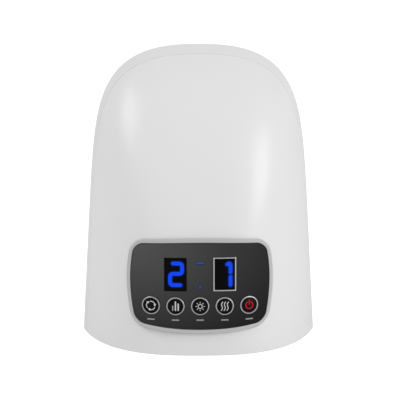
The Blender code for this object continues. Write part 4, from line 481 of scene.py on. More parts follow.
def add_prism(builder, outline, low, high, place):
    """An outline in local X and Y made solid between two heights."""
    bottom = [builder.verts.new(place @ Vector((x, y, low))) for x, y in outline]
    top = [builder.verts.new(place @ Vector((x, y, high))) for x, y in outline]
    join_loops(builder, [(bottom, top)])
    builder.faces.new(bottom)
    builder.faces.new(top)


opening = bmesh.new()
add_prism(opening, glass_outline(COLLAR_OFFSET + FIT_GAP), -HOOD_OUT[2] / 2, OPENING_SPARE,
          PANEL)
carve(front_shell, opening)


# Rear cover: the band round the back of the hood, the flat flange and the knee tub in one
# moulding of satin white ABS. The tub is the same arch, smaller, with bays left round it for
# the pump, battery and hoses. Wells hold the screws, and two long seats hold the feet.
SIDE_BAY = 0.020
TOP_BAY = 0.052
FRONT_BAY = 0.0265
TUB_WALL = 0.0022
FLANGE_WALL = 0.003
EDGE_ROUND = 0.002
TUB_OUT = (HOOD_OUT[0] - SIDE_BAY, HOOD_OUT[1] - TOP_BAY, HOOD_OUT[2] - FRONT_BAY)
TUB_IN = inset(TUB_OUT, TUB_WALL)
SCREW_HEAD_RADIUS = 0.0024
SCREW_HEAD_HEIGHT = 0.0014
SCREW_RADIUS = 0.0012
SCREW_LENGTH = 0.008
FOOT_RADIUS = 0.004
FOOT_SEAT = 0.001
FOOT_SHARES = (0.16, 0.56)
SOCKET_PLACE = (HOOD_OUT[0] * 0.62, HOOD_OUT[1] * 0.765)
SOCKET_HALF_WIDTH = 0.00445
SOCKET_HALF_HEIGHT = 0.0016
HOSE_RADIUS = 0.0022
HOSE_ENTRY = (TUB_OUT[2] * 0.365, TUB_OUT[1] * 0.405)
HOSE_HOLE_LENGTH = 0.010
ROUND_STEPS = 5
OUTER_SPARE = 0.002
INNER_SPARE = 0.001


def edge_rows(outer, inner):
    """Arches round the flange's outer edge and back round the tub's mouth."""
    rows = []
    for step in range(ROUND_STEPS + 1):
        angle = math.pi / 2 * step / ROUND_STEPS
        sink = EDGE_ROUND * (1 - math.cos(angle))
        rows.append(arch_row(inset(outer, sink), EDGE_ROUND * (1 - math.sin(angle))))
    for step in range(ROUND_STEPS + 1):
        angle = math.pi / 2 * (1 - step / ROUND_STEPS)
        sink = EDGE_ROUND * (1 - math.cos(angle))
        rows.append(arch_row(inset(inner, -sink), EDGE_ROUND * (1 - math.sin(angle))))
    return rows


def add_turned(builder, profile, place, segments=32, ring=False):
    """A body turned about local Z from (radius, height) points, or a ring of them."""
    loops = []
    for radius, height in profile:
        loop = []
        for step in range(segments if radius > 0 else 1):
            angle = 2 * math.pi * step / segments
            point = Vector((radius * math.cos(angle), radius * math.sin(angle), height))
            loop.append(builder.verts.new(place @ point))
        loops.append(loop)
    join_loops(builder, list(zip(loops, loops[1:])) + ([(loops[-1], loops[0])] if ring else []))


def add_box(builder, low, high, place=Matrix.Identity(4)):
    """A plain box between two corners."""
    outline = [(low[0], low[1]), (high[0], low[1]), (high[0], high[1]), (low[0], high[1])]
    add_prism(builder, outline, low[2], high[2], place)


def facing_back(across, height):
    """A place on the rear plane whose Z runs forward into the massager."""
    return Matrix(((1, 0, 0, across), (0, 0, -1, REAR_PLANE), (0, 1, 0, height), (0, 0, 0, 1)))


def foot_outline(side, radius, steps=12):
    """A long slot outline up the middle of the rear flange, as (across, height)."""
    ends = []
    for share in FOOT_SHARES:
        height = HOOD_OUT[1] * share
        inner = half_width_at(TUB_OUT, 0, height)
        outer = half_width_at(HOOD_OUT, 0, height)
        ends.append(Vector((side * (inner + outer) / 2, height)))
    run = (ends[1] - ends[0]).normalized()
    square = Vector((run.y, -run.x))
    outline = []
    for end, way in zip(ends, (-1, 1)):
        for step in range(steps + 1):
            angle = math.pi * step / steps
            spread = square * math.cos(angle) * way * -1 + run * math.sin(angle) * way
            outline.append(tuple(end + spread * radius))
    return outline


white_satin = skinned("satin_white_abs", "white_satin", (0.76, 0.76, 0.765), 0.38, grain=1500,
                      depth=0.00002, unevenness=0.1, mottle=0.01, Coat_Weight=0.1,
                      Coat_Roughness=0.3)
tongue_form = inset(HOOD_OUT, LIP_WALL + FIT_GAP)
tongue_end = PARTING_REACH + LIP_LENGTH
cover_rows = [arch_row(HOOD_OUT, PARTING_REACH)]
cover_rows += [arch_row(HOOD_OUT, PARTING_REACH - (PARTING_REACH - EDGE_ROUND) * step / 4)
               for step in (1, 2, 3)]
cover_rows += edge_rows(HOOD_OUT, TUB_IN)
cover_rows += arch_skin(TUB_IN, EDGE_ROUND)[1:] + arch_skin(TUB_OUT, FLANGE_WALL)[::-1]
cover_rows += [arch_row(HOOD_IN, FLANGE_WALL), arch_row(HOOD_IN, tongue_end),
               arch_row(tongue_form, tongue_end), arch_row(tongue_form, PARTING_REACH)]
rear_shell = new_piece("rear_cover_shell", loft(cover_rows), white_satin,
                       replaces=["rear_cover"])


def add_screw_hole(builder, place, depth):
    """A sunk seat for a screw's head and a bore for its shank, down to a depth."""
    well, bore = SCREW_HEAD_HEIGHT + FIT_GAP, SCREW_RADIUS + FIT_GAP
    add_turned(builder, [(0, -OUTER_SPARE), (SCREW_HEAD_RADIUS + FIT_GAP, -OUTER_SPARE),
                         (SCREW_HEAD_RADIUS + FIT_GAP, well), (bore, well), (bore, depth),
                         (0, depth)], place)


def add_hose_hole(builder, side, form, spare):
    """A bore for an air hose through a side of the tub, from just outside a form's skin."""
    wall = half_width_at(form, *HOSE_ENTRY)
    place = Matrix.Translation((side * (wall + spare), REAR_PLANE - HOSE_ENTRY[0],
                                HOSE_ENTRY[1])) @ Matrix.Rotation(-side * math.pi / 2, 4, "Y")
    add_turned(builder, [(0, 0), (HOSE_RADIUS + FIT_GAP, 0),
                         (HOSE_RADIUS + FIT_GAP, HOSE_HOLE_LENGTH), (0, HOSE_HOLE_LENGTH)],
               place)


screw_places = {}
for number in (1, 2, 3, 4):
    low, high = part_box(f"rear_screw_{number}")
    screw_places[f"rear_screw_{number}"] = facing_back((low.x + high.x) / 2,
                                                       (low.z + high.z) / 2)
holes = bmesh.new()
for place in screw_places.values():
    add_screw_hole(holes, place, FLANGE_WALL + INNER_SPARE)
for side in (1, -1):
    add_prism(holes, foot_outline(side, FOOT_RADIUS + FIT_GAP), -OUTER_SPARE, FOOT_SEAT,
              facing_back(0, 0))
    add_hose_hole(holes, side, TUB_OUT, OUTER_SPARE)
add_box(holes, (-SOCKET_HALF_WIDTH - FIT_GAP, -SOCKET_HALF_HEIGHT - FIT_GAP, -OUTER_SPARE),
        (SOCKET_HALF_WIDTH + FIT_GAP, SOCKET_HALF_HEIGHT + FIT_GAP, FLANGE_WALL + INNER_SPARE),
        facing_back(*SOCKET_PLACE))
carve(rear_shell, holes)


# Base cover: a flat horseshoe plate of the same white ABS that closes the bays underneath.
# Two screws hold it from below, and it fits inside the front cover with a shadow gap.
BASE_THICKNESS = 0.0025
BASE_EDGE_GAP = 0.0005
BASE_BEVEL = 0.0004
BASE_HOLE_DEPTH = 0.004


def base_outline(form, first_reach):
    """A form's outline at floor level, from the right foot round the front to the left."""
    right = [(row[0].x, row[0].y) for row in arch_skin(form, first_reach)]
    return right + [(-x, y) for x, y in reversed(right[:-1])]


bevelled = bmesh.new()
flange_reach = FLANGE_WALL + FIT_GAP
loops = []
for extra, height in ((BASE_BEVEL, 0), (0, BASE_BEVEL), (0, BASE_THICKNESS)):
    outline = base_outline(inset(HOOD_IN, BASE_EDGE_GAP + extra), flange_reach + extra)
    outline += base_outline(inset(TUB_OUT, -FIT_GAP - extra), flange_reach + extra)[::-1]
    loops.append([bevelled.verts.new((x, y, height)) for x, y in outline])
join_loops(bevelled, [(loops[0], loops[1]), (loops[1], loops[2])])
bevelled.faces.new(loops[0])
bevelled.faces.new(loops[2])
base_plate = new_piece("base_cover_plate", bevelled, white_satin, replaces=["base_cover"])
holes = bmesh.new()
for number in (1, 2):
    low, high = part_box(f"base_screw_{number}")
    place = Matrix.Translation(((low.x + high.x) / 2, (low.y + high.y) / 2, 0))
    screw_places[f"base_screw_{number}"] = place
    add_screw_hole(holes, place, BASE_HOLE_DEPTH)
carve(base_plate, holes)


# Screws: plated steel pan heads with a cross recess and a coarse thread for plastic. Four
# come in from the rear and two from below. The display board's own four are inner parts.
THREAD_DEPTH = 0.00022
THREAD_COUNT = 7
steel = skinned("plated_steel", "steel", (0.60, 0.60, 0.62), 0.32, grain=2600, depth=0.00001,
                unevenness=0.25, mottle=0.05, Metallic=0.95)


def add_screw(builder, place, radius, head_radius, head_height, length):
    """A screw along local Z, head first, with a domed rim and a threaded shank."""
    profile = [(0, 0), (head_radius * 0.55, 0), (head_radius * 0.86, head_height * 0.16),
               (head_radius, head_height * 0.5), (head_radius, head_height),
               (radius, head_height)]
    pitch = (length - head_height - radius) / THREAD_COUNT
    for turn in range(THREAD_COUNT):
        foot = head_height + pitch * turn
        profile += [(radius - THREAD_DEPTH, foot + pitch * 0.3),
                    (radius - THREAD_DEPTH, foot + pitch * 0.6), (radius, foot + pitch)]
    add_turned(builder, profile + [(0, length)], place, 24)


def add_cross(builder, place, reach, depth):
    """The cross recess of a screw head."""
    arm = reach * 0.24
    points = [(arm, arm), (arm, reach), (-arm, reach), (-arm, arm), (-reach, arm),
              (-reach, -arm), (-arm, -arm), (-arm, -reach), (arm, -reach), (arm, -arm),
              (reach, -arm), (reach, arm)]
    add_prism(builder, points, -depth, depth, place)


for name, place in screw_places.items():
    builder = bmesh.new()
    add_screw(builder, place, SCREW_RADIUS, SCREW_HEAD_RADIUS, SCREW_HEAD_HEIGHT, SCREW_LENGTH)
    screw = new_piece(name + "_threaded", builder, steel, replaces=[name])
    recess = bmesh.new()
    add_cross(recess, place, SCREW_HEAD_RADIUS * 0.62, SCREW_HEAD_HEIGHT * 0.6)
    carve(screw, recess)


# Rubber feet: two long strips of grey rubber, pressed into seats in the rear flange, on which
# the massager lies on its back. Their edges are rounded and fine ribs run across them.
FOOT_PROUD = 0.0015
RIB_PITCH = 0.0022
RIB_SPARE = 0.001
rubber_grey = skinned("grey_rubber", "rubber_grey", (0.20, 0.20, 0.21), 0.75, grain=2200,
                      depth=0.00004, unevenness=0.15, mottle=0.12, Sheen_Weight=0.15)
for name, side in (("left", -1), ("right", 1)):
    builder = bmesh.new()
    loops = []
    for radius, height in ((FOOT_RADIUS, FOOT_SEAT - FIT_GAP), (FOOT_RADIUS, -FOOT_PROUD * 0.5),
                           (FOOT_RADIUS * 0.93, -FOOT_PROUD * 0.87),
                           (FOOT_RADIUS * 0.8, -FOOT_PROUD)):
        loops.append([builder.verts.new(facing_back(0, 0) @ Vector((x, y, height)))
                      for x, y in foot_outline(side, radius)])
    join_loops(builder, list(zip(loops, loops[1:])))
    builder.faces.new(loops[0])
    builder.faces.new(loops[-1])
    foot = new_piece(name + "_foot_strip", builder, rubber_grey, replaces=[name + "_rubber_foot"])
    grooves = bmesh.new()
    low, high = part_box(name + "_rubber_foot")
    height = low.z + 2 * FOOT_RADIUS
    while height < high.z - 1.5 * FOOT_RADIUS:
        add_box(grooves, (low.x - RIB_SPARE, REAR_PLANE + FOOT_PROUD * 0.7, height),
                (high.x + RIB_SPARE, REAR_PLANE + FOOT_PROUD * 2, height + RIB_PITCH * 0.4))
        height += RIB_PITCH
    carve(foot, grooves)


# Panel bezel: a pale grey trim ring round the glass, with a collar that passes through the
# front cover and a floor behind the glass. Four posts on the floor carry the display board.
BEZEL_WIDTH = 0.0031
BEZEL_PROUD = 0.0008
BEZEL_CHAMFER = 0.0007
BEZEL_SKIRT_GAP = 0.0006
COLLAR_PAST_WALL = 0.0015
LENS_THICKNESS = 0.002
FLOOR_FRONT = -0.0032
PANEL_FLOOR = 0.0012
FLOOR_BACK = FLOOR_FRONT - PANEL_FLOOR
FLOOR_ROOT = 0.0007
KEY_PITCH = 0.0187
KEY_ROW = -0.0153
KEY_RADIUS = 0.00585
KEY_FLANGE_RADIUS = KEY_RADIUS + 0.0008
WINDOW_HALF_WIDTH = 0.0083
WINDOW_HALF_HEIGHT = 0.01255
WINDOW_ROW = 0.0091
FRAME_WIDTH = 0.0008
DASH_HALF_WIDTH = 0.003
DASH_HALF_HEIGHT = 0.0007
DASH_ROW = 0.0177
DOT_RADIUS = 0.00105
DOT_ROW = -0.00085
BOARD_HALF_WIDTH = 0.0445
BOARD_HALF_HEIGHT = 0.0245
POST_RADIUS = 0.0021
POST_BORE = 0.0012
POST_BORE_DEPTH = 0.004
TOP_POST_INSET = 0.005
TOP_POST_DROP = 0.0055
POST_ROOT = 0.0006
POST_BORE_SPARE = 0.002
SLAB_STEPS = 56
FACE_SPARE = 0.003
BACK_SPARE = 0.001
KEY_PLACES = {name: KEY_PITCH * step for name, step in
              (("mode", -2), ("intensity", -1), ("light", 0), ("heat", 1), ("power", 2))}


def key_flange_top(across):
    """Depth at which a key's flange lies behind the floor."""
    return glass_drop(abs(across) + KEY_FLANGE_RADIUS) + FLOOR_BACK - FIT_GAP


KEY_FOOT = key_flange_top(2 * KEY_PITCH) - 0.0014
DOME_TOP = KEY_FOOT - FIT_GAP
BOARD_FRONT = DOME_TOP - 0.0037
FRAME_HALF = (WINDOW_HALF_WIDTH + FIT_GAP, WINDOW_HALF_HEIGHT + FIT_GAP)
RIGHT_DISPLAY_HALF = tuple(size - FRAME_WIDTH - FIT_GAP for size in FRAME_HALF)


def skin_depth(form, across, up):
    """Depth, in the panel's frame, of a form's skin behind a point of the panel."""
    depth = 0
    for _ in range(5):
        height = PANEL_HEIGHT + up * math.cos(PANEL_TILT) + depth * math.sin(PANEL_TILT)
        reach = reach_at(form, across, height)
        depth = (reach - PANEL_REACH + up * math.sin(PANEL_TILT)) / math.cos(PANEL_TILT)
    return depth


def ring_loop(offset, depth, form=None):
    """A loop round the glass, whose depth follows the glass or a form's skin."""
    loop = []
    for across, up in glass_outline(offset):
        start = skin_depth(form, across, up) if form else glass_drop(across)
        loop.append(PANEL @ Vector((across, up, start + depth)))
    return loop


def add_ring(builder, loops):
    """A closed ring from a closed series of loops of points."""
    made = [[builder.verts.new(point) for point in loop] for loop in loops]
    join_loops(builder, list(zip(made, made[1:] + made[:1])))


def on_panel(point, follows):
    """A point of the panel in the scene, whose depth may follow the glass."""
    across, up, depth = point
    return PANEL @ Vector((across, up, depth + (glass_drop(across) if follows else 0)))


def add_round(builder, middle, profile, segments=48):
    """A body turned about an axis square to the panel, from (radius, depth, follows)."""
    loops = []
    for radius, depth, follows in profile:
        loop = []
        for step in range(segments if radius > 0 else 1):
            angle = 2 * math.pi * step / segments
            point = (middle[0] + radius * math.cos(angle), middle[1] + radius * math.sin(angle),
                     depth)
            loop.append(builder.verts.new(on_panel(point, follows)))
        loops.append(loop)
    join_loops(builder, list(zip(loops, loops[1:])))


def add_cylinder(builder, middle, radius, front, back, follows=(True, True), segments=48):
    """A plain cylinder square to the panel, whose two ends may follow the glass."""
    add_round(builder, middle, [(0, front, follows[0]), (radius, front, follows[0]),
                                (radius, back, follows[1]), (0, back, follows[1])], segments)


def add_slab(builder, middle, half, front, back, back_follows=True, steps=16):
    """A block in strips that follow the glass, about a middle and with half sizes."""
    loops = []
    for step in range(steps + 1):
        across = middle[0] - half[0] + 2 * half[0] * step / steps
        low, high = middle[1] - half[1], middle[1] + half[1]
        corners = [((across, low, front), True), ((across, high, front), True),
                   ((across, high, back), back_follows), ((across, low, back), back_follows)]
        loops.append([builder.verts.new(on_panel(*corner)) for corner in corners])
    join_loops(builder, list(zip(loops, loops[1:])))
    builder.faces.new(loops[0])
    builder.faces.new(loops[-1])


def glass_plate(offset, front, back):
    """A curved plate that fills the glass's outline, as a piece that isn't shown yet."""
    builder = bmesh.new()
    add_slab(builder, (0, 0), (GLASS_HALF_WIDTH + BEZEL_WIDTH, GLASS_TOP + GLASS_BOTTOM),
             front, back, steps=SLAB_STEPS)
    plate = new_object("glass_plate", builder)
    trim = bmesh.new()
    add_prism(trim, glass_outline(offset), -HOOD_OUT[2] / 2, OPENING_SPARE, PANEL)
    carve(plate, trim, "INTERSECT")
    return plate


def add_light_holes(builder, depth):
    """Holes for the two indicator lights."""
    add_slab(builder, (0, DASH_ROW), (DASH_HALF_WIDTH + FIT_GAP, DASH_HALF_HEIGHT + FIT_GAP),
             FACE_SPARE, depth)
    add_cylinder(builder, (0, DOT_ROW), DOT_RADIUS + FIT_GAP, FACE_SPARE, depth)


bezel_grey = skinned("grey_trim_abs", "bezel_grey", (0.49, 0.49, 0.495), 0.36, grain=1800,
                     depth=0.000012, unevenness=0.1, mottle=0.01, Coat_Weight=0.2,
                     Coat_Roughness=0.2)
edge_in, edge_out = FIT_GAP, BEZEL_WIDTH
past_wall = inset(HOOD_IN, COLLAR_PAST_WALL)
loops = [ring_loop(edge_out, BEZEL_SKIRT_GAP, HOOD_OUT)]
for step in range(5):
    angle = math.pi / 2 * step / 4
    loops.append(ring_loop(edge_out - BEZEL_CHAMFER * (1 - math.cos(angle)),
                           BEZEL_PROUD - BEZEL_CHAMFER * (1 - math.sin(angle))))
for step in range(5):
    angle = math.pi / 2 * (1 - step / 4)
    loops.append(ring_loop(edge_in + BEZEL_CHAMFER * (1 - math.cos(angle)),
                           BEZEL_PROUD - BEZEL_CHAMFER * (1 - math.sin(angle))))
loops += [ring_loop(edge_in, 0, past_wall), ring_loop(COLLAR_OFFSET, 0, past_wall),
          ring_loop(COLLAR_OFFSET, BEZEL_SKIRT_GAP, HOOD_OUT)]
builder = bmesh.new()
add_ring(builder, loops)
bezel = new_piece("panel_bezel_ring", builder, bezel_grey, replaces=["panel_bezel"])


def join_body(piece, other):
    """Unites a piece with another object that isn't kept."""
    builder = bmesh.new()
    builder.from_mesh(other.data)
    bpy.data.objects.remove(other)
    carve(piece, builder, "UNION")


join_body(bezel, glass_plate(FIT_GAP + FLOOR_ROOT, FLOOR_FRONT, FLOOR_BACK))
post_places = [(side * (BOARD_HALF_WIDTH - TOP_POST_INSET), BOARD_HALF_HEIGHT - TOP_POST_DROP)
               for side in (1, -1)]
post_places += [(side * KEY_PITCH * 1.5, KEY_ROW) for side in (1, -1)]
builder = bmesh.new()
for place in post_places:
    add_cylinder(builder, place, POST_RADIUS, FLOOR_BACK + POST_ROOT, BOARD_FRONT + FIT_GAP,
                 (True, False), 20)
carve(bezel, builder, "UNION")
builder = bmesh.new()
for across in KEY_PLACES.values():
    add_cylinder(builder, (across, KEY_ROW), KEY_RADIUS + FIT_GAP, FACE_SPARE,
                 key_flange_top(across) - BACK_SPARE, (True, False))
for middle, half in ((-KEY_PITCH, (WINDOW_HALF_WIDTH, WINDOW_HALF_HEIGHT)),
                     (KEY_PITCH, RIGHT_DISPLAY_HALF)):
    add_slab(builder, (middle, WINDOW_ROW), (half[0] + FIT_GAP, half[1] + FIT_GAP),
             FACE_SPARE, FLOOR_BACK - BACK_SPARE)
add_light_holes(builder, FLOOR_BACK - BACK_SPARE)
for place in post_places:
    foot = BOARD_FRONT + FIT_GAP
    add_cylinder(builder, place, POST_BORE, foot + POST_BORE_DEPTH, foot - POST_BORE_SPARE,
                 (False, False), 16)
carve(bezel, builder)


# Panel lens: smoked acrylic, dark all over, with holes for the five keys, the two digit
# windows and the two indicator lights. A painted reflection in its colour fades it from dark
# grey above left to black below.
FADE_REACH = 0.133
FADE_POWER = 1.3
SPECKLE_SHARE = 0.02
RING_WIDTH = 0.0006
RING_OUTER = KEY_RADIUS + FIT_GAP + RING_WIDTH
smoked_lens, tree, shader = principled("smoked_acrylic", "smoked_lens", (0.02, 0.02, 0.022), 0.1,
                                       Specular_IOR_Level=0.16)
reflection_paint_group, given, made = new_group(
    "painted_reflection_fade",
    {"Dark": ("NodeSocketColor", None), "Painted reflection": ("NodeSocketColor", None),
     "Start": ("NodeSocketVector", None), "Stretch": ("NodeSocketVector", None),
     "Reach": ("NodeSocketFloat", 0.1)},
    {"Colour": "NodeSocketColor", "Roughness": "NodeSocketFloat"})
place = reflection_paint_group.nodes.new("ShaderNodeTexCoord").outputs["Object"]
steps = [reflection_paint_group.nodes.new("ShaderNodeVectorMath") for _ in range(3)]
for node, operation in zip(steps, ("SUBTRACT", "MULTIPLY", "LENGTH")):
    node.operation = operation
reflection_paint_group.links.new(place, steps[0].inputs[0])
reflection_paint_group.links.new(given.outputs["Start"], steps[0].inputs[1])
reflection_paint_group.links.new(steps[0].outputs[0], steps[1].inputs[0])
reflection_paint_group.links.new(given.outputs["Stretch"], steps[1].inputs[1])
reflection_paint_group.links.new(steps[1].outputs[0], steps[2].inputs[0])
# Painted reflection: the colour is lighter near the glass's upper left corner and darker away
# from it.
share = calculate(reflection_paint_group, "DIVIDE", steps[2].outputs["Value"], given.outputs["Reach"])
falling = calculate(reflection_paint_group, "SUBTRACT", 1, share)
kept = calculate(reflection_paint_group, "MAXIMUM", falling, 0)
fade = calculate(reflection_paint_group, "POWER", kept, FADE_POWER)
speckle = noise(reflection_paint_group, place, 1600, 2)
fade = calculate(reflection_paint_group, "MULTIPLY_ADD", speckle, SPECKLE_SHARE, fade)
mix = reflection_paint_group.nodes.new("ShaderNodeMix")
mix.data_type = "RGBA"
reflection_paint_group.links.new(fade, mix.inputs["Factor"])
reflection_paint_group.links.new(given.outputs["Dark"], mix.inputs["A"])
reflection_paint_group.links.new(given.outputs["Painted reflection"], mix.inputs["B"])
reflection_paint_group.links.new(mix.outputs["Result"], made.inputs["Colour"])
haze = noise(reflection_paint_group, place, 45, 2)
haze = calculate(reflection_paint_group, "MULTIPLY_ADD", haze, 0.05, 0.08)
reflection_paint_group.links.new(haze, made.inputs["Roughness"])
painted_reflection = tree.nodes.new("ShaderNodeGroup")
painted_reflection.node_tree = reflection_paint_group
for socket, value in (("Dark", (0.004, 0.004, 0.0045, 1)), ("Painted reflection", (0.088, 0.088, 0.09, 1)),
                      ("Start", PANEL @ Vector((-GLASS_HALF_WIDTH, GLASS_TOP, 0))),
                      ("Stretch", (1, 1, 1.4)), ("Reach", FADE_REACH)):
    painted_reflection.inputs[socket].default_value = value
tree.links.new(painted_reflection.outputs["Colour"], shader.inputs["Base Color"])
tree.links.new(painted_reflection.outputs["Roughness"], shader.inputs["Roughness"])

plate = glass_plate(0, 0, -LENS_THICKNESS)
builder = bmesh.new()
builder.from_mesh(plate.data)
bpy.data.objects.remove(plate)
lens = new_piece("panel_lens_plate", builder, smoked_lens, replaces=["panel_lens"])
builder = bmesh.new()
for across in KEY_PLACES.values():
    add_cylinder(builder, (across, KEY_ROW), RING_OUTER + FIT_GAP, FACE_SPARE,
                 -LENS_THICKNESS - BACK_SPARE, segments=64)
for middle, half in ((-KEY_PITCH, (WINDOW_HALF_WIDTH, WINDOW_HALF_HEIGHT)),
                     (KEY_PITCH, FRAME_HALF)):
    add_slab(builder, (middle, WINDOW_ROW), (half[0] + FIT_GAP, half[1] + FIT_GAP),
             FACE_SPARE, -LENS_THICKNESS - BACK_SPARE)
add_light_holes(builder, -LENS_THICKNESS - BACK_SPARE)
carve(lens, builder)


# Ring trim and window frame: thin bright-plated mouldings. The five rings stand on one strip
# under the lens, and the frame round the right-hand window drops into its own cutout.
RING_PROUD = 0.0002
STRIP_FRONT = -LENS_THICKNESS - FIT_GAP
STRIP_BACK = STRIP_FRONT - 0.0006
STRIP_HALF_WIDTH = 0.0011
FRAME_PROUD = 0.0002
silver = skinned("bright_plating", "silver", (0.62, 0.63, 0.64), 0.3, grain=2400, depth=0.000006,
                 unevenness=0.2, mottle=0.03, Metallic=0.8)
builder = bmesh.new()
add_slab(builder, (0, KEY_ROW), (2 * KEY_PITCH, STRIP_HALF_WIDTH), STRIP_FRONT, STRIP_BACK,
         steps=64)
trim = new_piece("key_ring_trim", builder, silver, replaces=["ring_trim"])
rings, cores = bmesh.new(), bmesh.new()
for across in KEY_PLACES.values():
    back = (STRIP_FRONT + STRIP_BACK) / 2
    rim = RING_WIDTH / 3
    add_round(rings, (across, KEY_ROW), [(0, RING_PROUD, True), (RING_OUTER - rim, RING_PROUD,
              True), (RING_OUTER - rim / 3, RING_PROUD * 0.6, True), (RING_OUTER, 0, True),
              (RING_OUTER, back, True), (0, back, True)], 64)
    add_cylinder(cores, (across, KEY_ROW), KEY_RADIUS + FIT_GAP, FACE_SPARE,
                 STRIP_BACK - BACK_SPARE, segments=64)
carve(trim, rings, "UNION")
carve(trim, cores)


def window_loop(half_width, half_height, depth):
    """A rounded rectangle round the right-hand window that follows the glass."""
    outline = rounded_outline(half_width, -half_height, half_height, FRAME_WIDTH / 2,
                              corner_steps=6, edge_steps=16)
    return [on_panel((KEY_PITCH + x, WINDOW_ROW + y, depth), True) for x, y in outline]


builder = bmesh.new()
inner = tuple(size - FRAME_WIDTH for size in FRAME_HALF)
bead = FRAME_WIDTH * 0.25
add_ring(builder, [window_loop(*FRAME_HALF, -LENS_THICKNESS), window_loop(*FRAME_HALF, 0),
                   window_loop(*(size - bead for size in FRAME_HALF), FRAME_PROUD),
                   window_loop(*(size + bead for size in inner), FRAME_PROUD),
                   window_loop(*inner, 0), window_loop(*inner, -LENS_THICKNESS)])
new_piece("window_frame", builder, silver, replaces=["display_frame"])


# Digit displays: two black blocks that stand on the display board and end just under the
# face of the glass. Each shows one digit in blue strokes with round ends, and the resin
# round the strokes glows faintly.
WINDOW_RECESS = 0.0003
DIGIT_STROKE = 0.0029
DIGIT_HALO = 0.0007
DIGIT_DEPTH = 0.00005
DIGIT_CLEARANCE = 0.00002
display_back = BOARD_FRONT + FIT_GAP
display_black = skinned("black_display", "display_black", (0.001, 0.001, 0.0015), 0.4,
                        grain=2000, depth=0.000004, mottle=0.05, Specular_IOR_Level=0.06)
digit_blue = skinned("blue_digit_light", "indicator_blue", (0.002, 0.01, 0.08), 0.5,
                     grain=1200, mottle=0.08, Specular_IOR_Level=0.05,
                     Emission_Color=(0.004, 0.062, 0.92, 1), Emission_Strength=0.86)
digit_halo = skinned("blue_halo", "indicator_blue", (0.001, 0.004, 0.03), 0.5, grain=1200,
                     mottle=0.08, Specular_IOR_Level=0.05,
                     Emission_Color=(0.001, 0.016, 0.13, 1), Emission_Strength=0.5)
for name, middle, half in (
        ("left_digit_display", -KEY_PITCH, (WINDOW_HALF_WIDTH, WINDOW_HALF_HEIGHT)),
        ("right_digit_display", KEY_PITCH, RIGHT_DISPLAY_HALF)):
    builder = bmesh.new()
    add_slab(builder, (middle, WINDOW_ROW), half, -WINDOW_RECESS, display_back, False)
    new_piece(name + "_block", builder, display_black, replaces=[name])


def stroke_sections(points, width, closed):
    """Middles, side directions and half widths along a stroke with round ends."""
    sections = []
    count = len(points)
    for number, point in enumerate(points):
        before = points[(number - 1) % count] if closed or number else None
        after = points[(number + 1) % count] if closed or number < count - 1 else None
        ways = []
        for start, end in ((before, point), (point, after)):
            if start and end:
                ways.append((Vector(end) - Vector(start)).normalized())
        way = sum(ways, Vector((0, 0))).normalized()
        stretch = 1 / max(0.5, way.dot(ways[0]))
        sections.append((Vector(point), Vector((-way.y, way.x)), width / 2 * stretch, way))
    if closed:
        return sections
    first, last = sections[0], sections[-1]
    caps = ((first, -1), (last, 1))
    ends = []
    for (middle, side, half, way), sign in caps:
        arc = []
        for step in range(1, 6):
            angle = math.pi / 2 * step / 5.3
            arc.append((middle + way * (sign * half * math.sin(angle)), side,
                        half * math.cos(angle), way))
        ends.append(arc)
    return ends[0][::-1] + sections + ends[1]


def add_stroke(builder, points, width, front, back, closed=False):
    """A raised stroke along points of the panel, as a body that follows the glass."""
    loops = []
    for middle, side, half, _ in stroke_sections(points, width, closed):
        left, right = middle + side * half, middle - side * half
        corners = [(*left, front), (*right, front), (*right, back), (*left, back)]
        loops.append([builder.verts.new(on_panel(corner, True)) for corner in corners])
    if closed:
        join_loops(builder, list(zip(loops, loops[1:] + loops[:1])))
    else:
        join_loops(builder, list(zip(loops, loops[1:])))
        builder.faces.new(loops[0])
        builder.faces.new(loops[-1])


def bend(corner, start, end, steps=6):
    """Points round a bend from a start to an end, drawn towards a corner."""
    curve = []
    for step in range(steps + 1):
        t = step / steps
        curve.append(tuple((1 - t) ** 2 * a + 2 * t * (1 - t) * c + t * t * b
                           for a, c, b in zip(start, corner, end)))
    return curve


left, right, high, low = -0.0040, 0.0051, 0.0085, -0.0081
middle_row, turn, stem = 0.0006, 0.0026, 0.0043
TWO_START, TWO_END = 0.0022, 0.0014
FLAG_WIDTH, FLAG_DROP = 0.0024, 0.0008
FLAG_BEND = (0.0012, 0.0002, 0.0020)
BREAK_TOP, BREAK_BOTTOM = 0.0016, -0.0020
two = ([(left + TWO_START, high)]
       + bend((right, high), (right - turn, high), (right, high - turn))
       + bend((right, middle_row), (right, middle_row + turn), (right - turn, middle_row))
       + bend((left, middle_row), (left + turn, middle_row), (left, middle_row - turn))
       + bend((left, low), (left, low + turn), (left + turn, low)) + [(right - TWO_END, low)])
flag = [(stem - FLAG_WIDTH, high - FLAG_DROP)]
flag += bend((stem, high), (stem - FLAG_BEND[0], high - FLAG_BEND[1]),
             (stem, high - FLAG_BEND[2]))
one = [flag + [(stem, BREAK_TOP)], [(stem, BREAK_BOTTOM), (stem, low)]]
for name, middle, strokes in (("left", -KEY_PITCH, [two]), ("right", KEY_PITCH, one)):
    face = -WINDOW_RECESS + DIGIT_CLEARANCE
    for kind, width, low_face, material in (
            ("halo", DIGIT_STROKE + 2 * DIGIT_HALO, face, digit_halo),
            ("digit", DIGIT_STROKE, face + DIGIT_DEPTH + DIGIT_CLEARANCE, digit_blue)):
        builder = bmesh.new()
        for stroke in strokes:
            add_stroke(builder, [(middle + x, WINDOW_ROW + y) for x, y in stroke], width,
                       low_face + DIGIT_DEPTH, low_face)
        new_piece(f"{name}_{kind}", builder, material)


